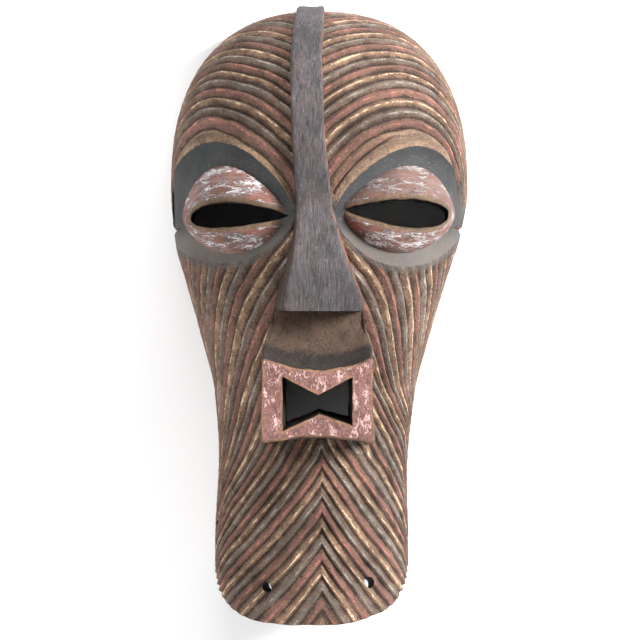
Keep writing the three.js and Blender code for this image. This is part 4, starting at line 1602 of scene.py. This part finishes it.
@dataclass
class Carving:
    """Joins and cuts the parts of the block, and thins the result to a mesh that the piece can hold."""

    keep: int = 190000  # triangles
    top_y: float = 239.9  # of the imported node, in the carving's frame
    right_x: float = 113.3
    sharp_degrees: float = 42.0
    base: bpy.types.Object | None = None
    spare: list[bpy.types.Object] = field(default_factory=list)

    def work(self, operation: str, surface: Surface, name: str, material: bpy.types.Material) -> None:
        """Adds or cuts one surface, as a modifier that runs when the block is finished.

        Args:
            operation: UNION or DIFFERENCE.
            surface: the closed surface.
            name: the tool's name.
            material: what its faces wear in the result.
        """
        tool = surface.to_object(name, material)
        change = self.base.modifiers.new(name, "BOOLEAN")
        change.operation = operation
        change.object = tool
        change.solver = "MANIFOLD"
        change.material_mode = "TRANSFER"
        tool.hide_render = tool.hide_viewport = True
        self.spare.append(tool)

    def baked(self, name: str) -> bpy.types.Mesh:
        """The base object's mesh as its modifiers leave it."""
        graph = bpy.context.evaluated_depsgraph_get()
        made = bpy.data.meshes.new_from_object(self.base.evaluated_get(graph), depsgraph=graph)
        made.name = name
        return made

    def finish(self, name: str, low: Vector, high: Vector) -> bpy.types.Object:
        """Runs every change, thins the mesh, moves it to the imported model's frame and makes the piece.

        Args:
            name: the piece's name.
            low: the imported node's lowest corner.
            high: its highest corner.
        Returns:
            The finished object.
        """
        mesh = self.baked(name)
        self.base.modifiers.clear()
        self.base.data = mesh
        triangles = sum(len(p.vertices) - 2 for p in mesh.polygons)
        LOG.info("%s: %d triangles before thinning", name, triangles)
        thin = self.base.modifiers.new("thin", "DECIMATE")
        thin.ratio = min(1.0, self.keep / triangles)
        thin.use_collapse_triangulate = True
        mesh = self.baked(name)
        for spare in [*self.spare, self.base]:
            bpy.data.objects.remove(spare)
        shift = Matrix.Translation((high.x - self.right_x * MM, high.y - self.top_y * MM, low.z))
        mesh.transform(shift @ Matrix.Diagonal((MM, MM, MM, 1)))
        mesh.polygons.foreach_set("use_smooth", np.ones(len(mesh.polygons), bool))
        mesh.set_sharp_from_angle(angle=np.radians(self.sharp_degrees))
        made = bpy.data.objects.new(name, mesh)
        bpy.context.scene.collection.objects.link(made)
        return made


@dataclass
class Mask:
    """The whole mask, built part by part in the carving's own frame."""

    shell: Shell = field(default_factory=Shell)

    def build(self) -> bpy.types.Object:
        """Carves the block and dresses each surface in its finish."""
        effects = make_effects()
        striped, slate = StripedPaint(effects).build(), SlatePaint(effects).build()
        socket, lid = SocketPaint(effects).build(0.5), LidPaint(effects).build(0.6)
        mouth, bare = MouthPaint(effects).build(0.6), RawWood(effects).build()
        burnt_and_shaded = BurntAndShadedWood(effects).build()
        carving = Carving()
        carving.base = self.shell.carved().to_object("block", striped)
        LOG.info("shell: carved with its ridges")
        eyes = [EyeCarving(self.shell, eye) for eye in EYES]
        for eye in eyes:
            carving.work("DIFFERENCE", eye.socket(), f"{eye.eye.name}_socket", socket)
        for eye in eyes:
            carving.work("UNION", eye.lids(), f"{eye.eye.name}_lids", lid)
            LOG.info("%s eye: socket and lids", eye.eye.name)
        carving.work("UNION", Crest(self.shell).surface(), "crest", slate)
        LOG.info("crest and nose")
        block = MouthBlock(self.shell)
        carving.work("UNION", block.surface(), "mouth_block", mouth)
        carving.work("DIFFERENCE", self.shell.hollow(), "hollow", bare)
        carving.work("DIFFERENCE", block.bow_tie(), "bow_tie", mouth)
        LOG.info("mouth block and hollow")
        for eye in eyes:
            carving.work("DIFFERENCE", eye.slit(), f"{eye.eye.name}_slit", bare)
        trimming = Trimming(self.shell)
        for number, hole in enumerate(trimming.holes()):
            # The tie holes wear near-black wood, which stands partly for the shade inside them.
            carving.work("DIFFERENCE", hole, f"hole_{number}", burnt_and_shaded)
        carving.work("DIFFERENCE", trimming.chin(), "chin", bare)
        carving.work("DIFFERENCE", trimming.rim(), "rim", bare)
        low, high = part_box("mask")
        return carving.finish("mask_carving", low, high)


@dataclass
class Studio:
    """The pale floor, the soft lights and the camera that looks straight down on the mask."""

    camera_height: float = 1.9
    camera_x: float = 0.0005
    camera_y: float = -0.008793
    lens: float = 138.49
    sensor: float = 36.0
    sky: float = 0.12  # the strength of the white light from all round
    lamps: tuple[tuple[str, tuple[float, float, float], float, float], ...] = (
        ("key", (1.5, 0.6, 1.05), 0.7, 106.0),
        ("left", (-1.7, 0.1, 1.0), 1.4, 28.0),
        ("crown", (0.1, 1.8, 1.0), 1.4, 28.0),
        ("chin", (-0.5, -1.5, 1.3), 1.2, 26.0),
    )  # each one's name, place, size and power

    def floor(self) -> bpy.types.Object:
        """A plain pale floor at the rim plane."""
        mesh = bpy.data.meshes.new("floor")
        corners = [(-3, -3, 0), (3, -3, 0), (3, 3, 0), (-3, 3, 0)]
        mesh.from_pydata(corners, [], [(0, 1, 2, 3)])
        material = bpy.data.materials.new("pale_floor")
        material.use_nodes = True
        shader = material.node_tree.nodes["Principled BSDF"]
        shader.inputs["Base Color"].default_value = (0.93, 0.93, 0.93, 1)
        shader.inputs["Roughness"].default_value = 0.9
        mesh.materials.append(material)
        made = bpy.data.objects.new("floor", mesh)
        bpy.context.scene.collection.objects.link(made)
        return made

    def light(self, name: str, place: tuple[float, float, float], size: float, power: float) -> None:
        """A square soft light that faces the mask.

        Args:
            name: its name.
            place: where it is, in metres.
            size: the length of its sides, in metres.
            power: its power in watts.
        """
        lamp = bpy.data.lights.new(name, "AREA")
        lamp.size = size
        lamp.energy = power
        made = bpy.data.objects.new(name, lamp)
        made.location = place
        made.rotation_euler = (Vector((0, 0, 0.05)) - Vector(place)).to_track_quat("-Z", "Y").to_euler()
        bpy.context.scene.collection.objects.link(made)

    def build(self) -> None:
        """Sets up the floor, the sky, the lights and the camera."""
        self.floor()
        world = bpy.data.worlds.new("studio")
        world.use_nodes = True
        sky = world.node_tree.nodes["Background"]
        sky.inputs["Color"].default_value = (1, 1, 1, 1)
        sky.inputs["Strength"].default_value = self.sky
        bpy.context.scene.world = world
        for lamp in self.lamps:
            self.light(*lamp)
        camera = bpy.data.objects.new("camera", bpy.data.cameras.new("camera"))
        camera.data.lens = self.lens
        camera.data.sensor_width = self.sensor
        camera.data.clip_start = 0.1
        camera.data.clip_end = 20
        camera.location = (self.camera_x, self.camera_y, self.camera_height)
        bpy.context.scene.collection.objects.link(camera)
        bpy.context.scene.camera = camera
        bpy.context.scene.view_settings.view_transform = "Standard"
        bpy.context.scene.view_settings.look = "None"


def main() -> None:
    """Builds the mask and the studio."""
    logging.basicConfig(level=logging.INFO, format="%(name)s: %(message)s")
    piece = Mask().build()
    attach(piece, "root")
    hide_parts("mask")
    count = sum(len(p.vertices) - 2 for p in piece.data.polygons)
    LOG.info("%s: %d triangles", piece.name, count)
    Studio().build()


if __name__ == "__main__":
    main()
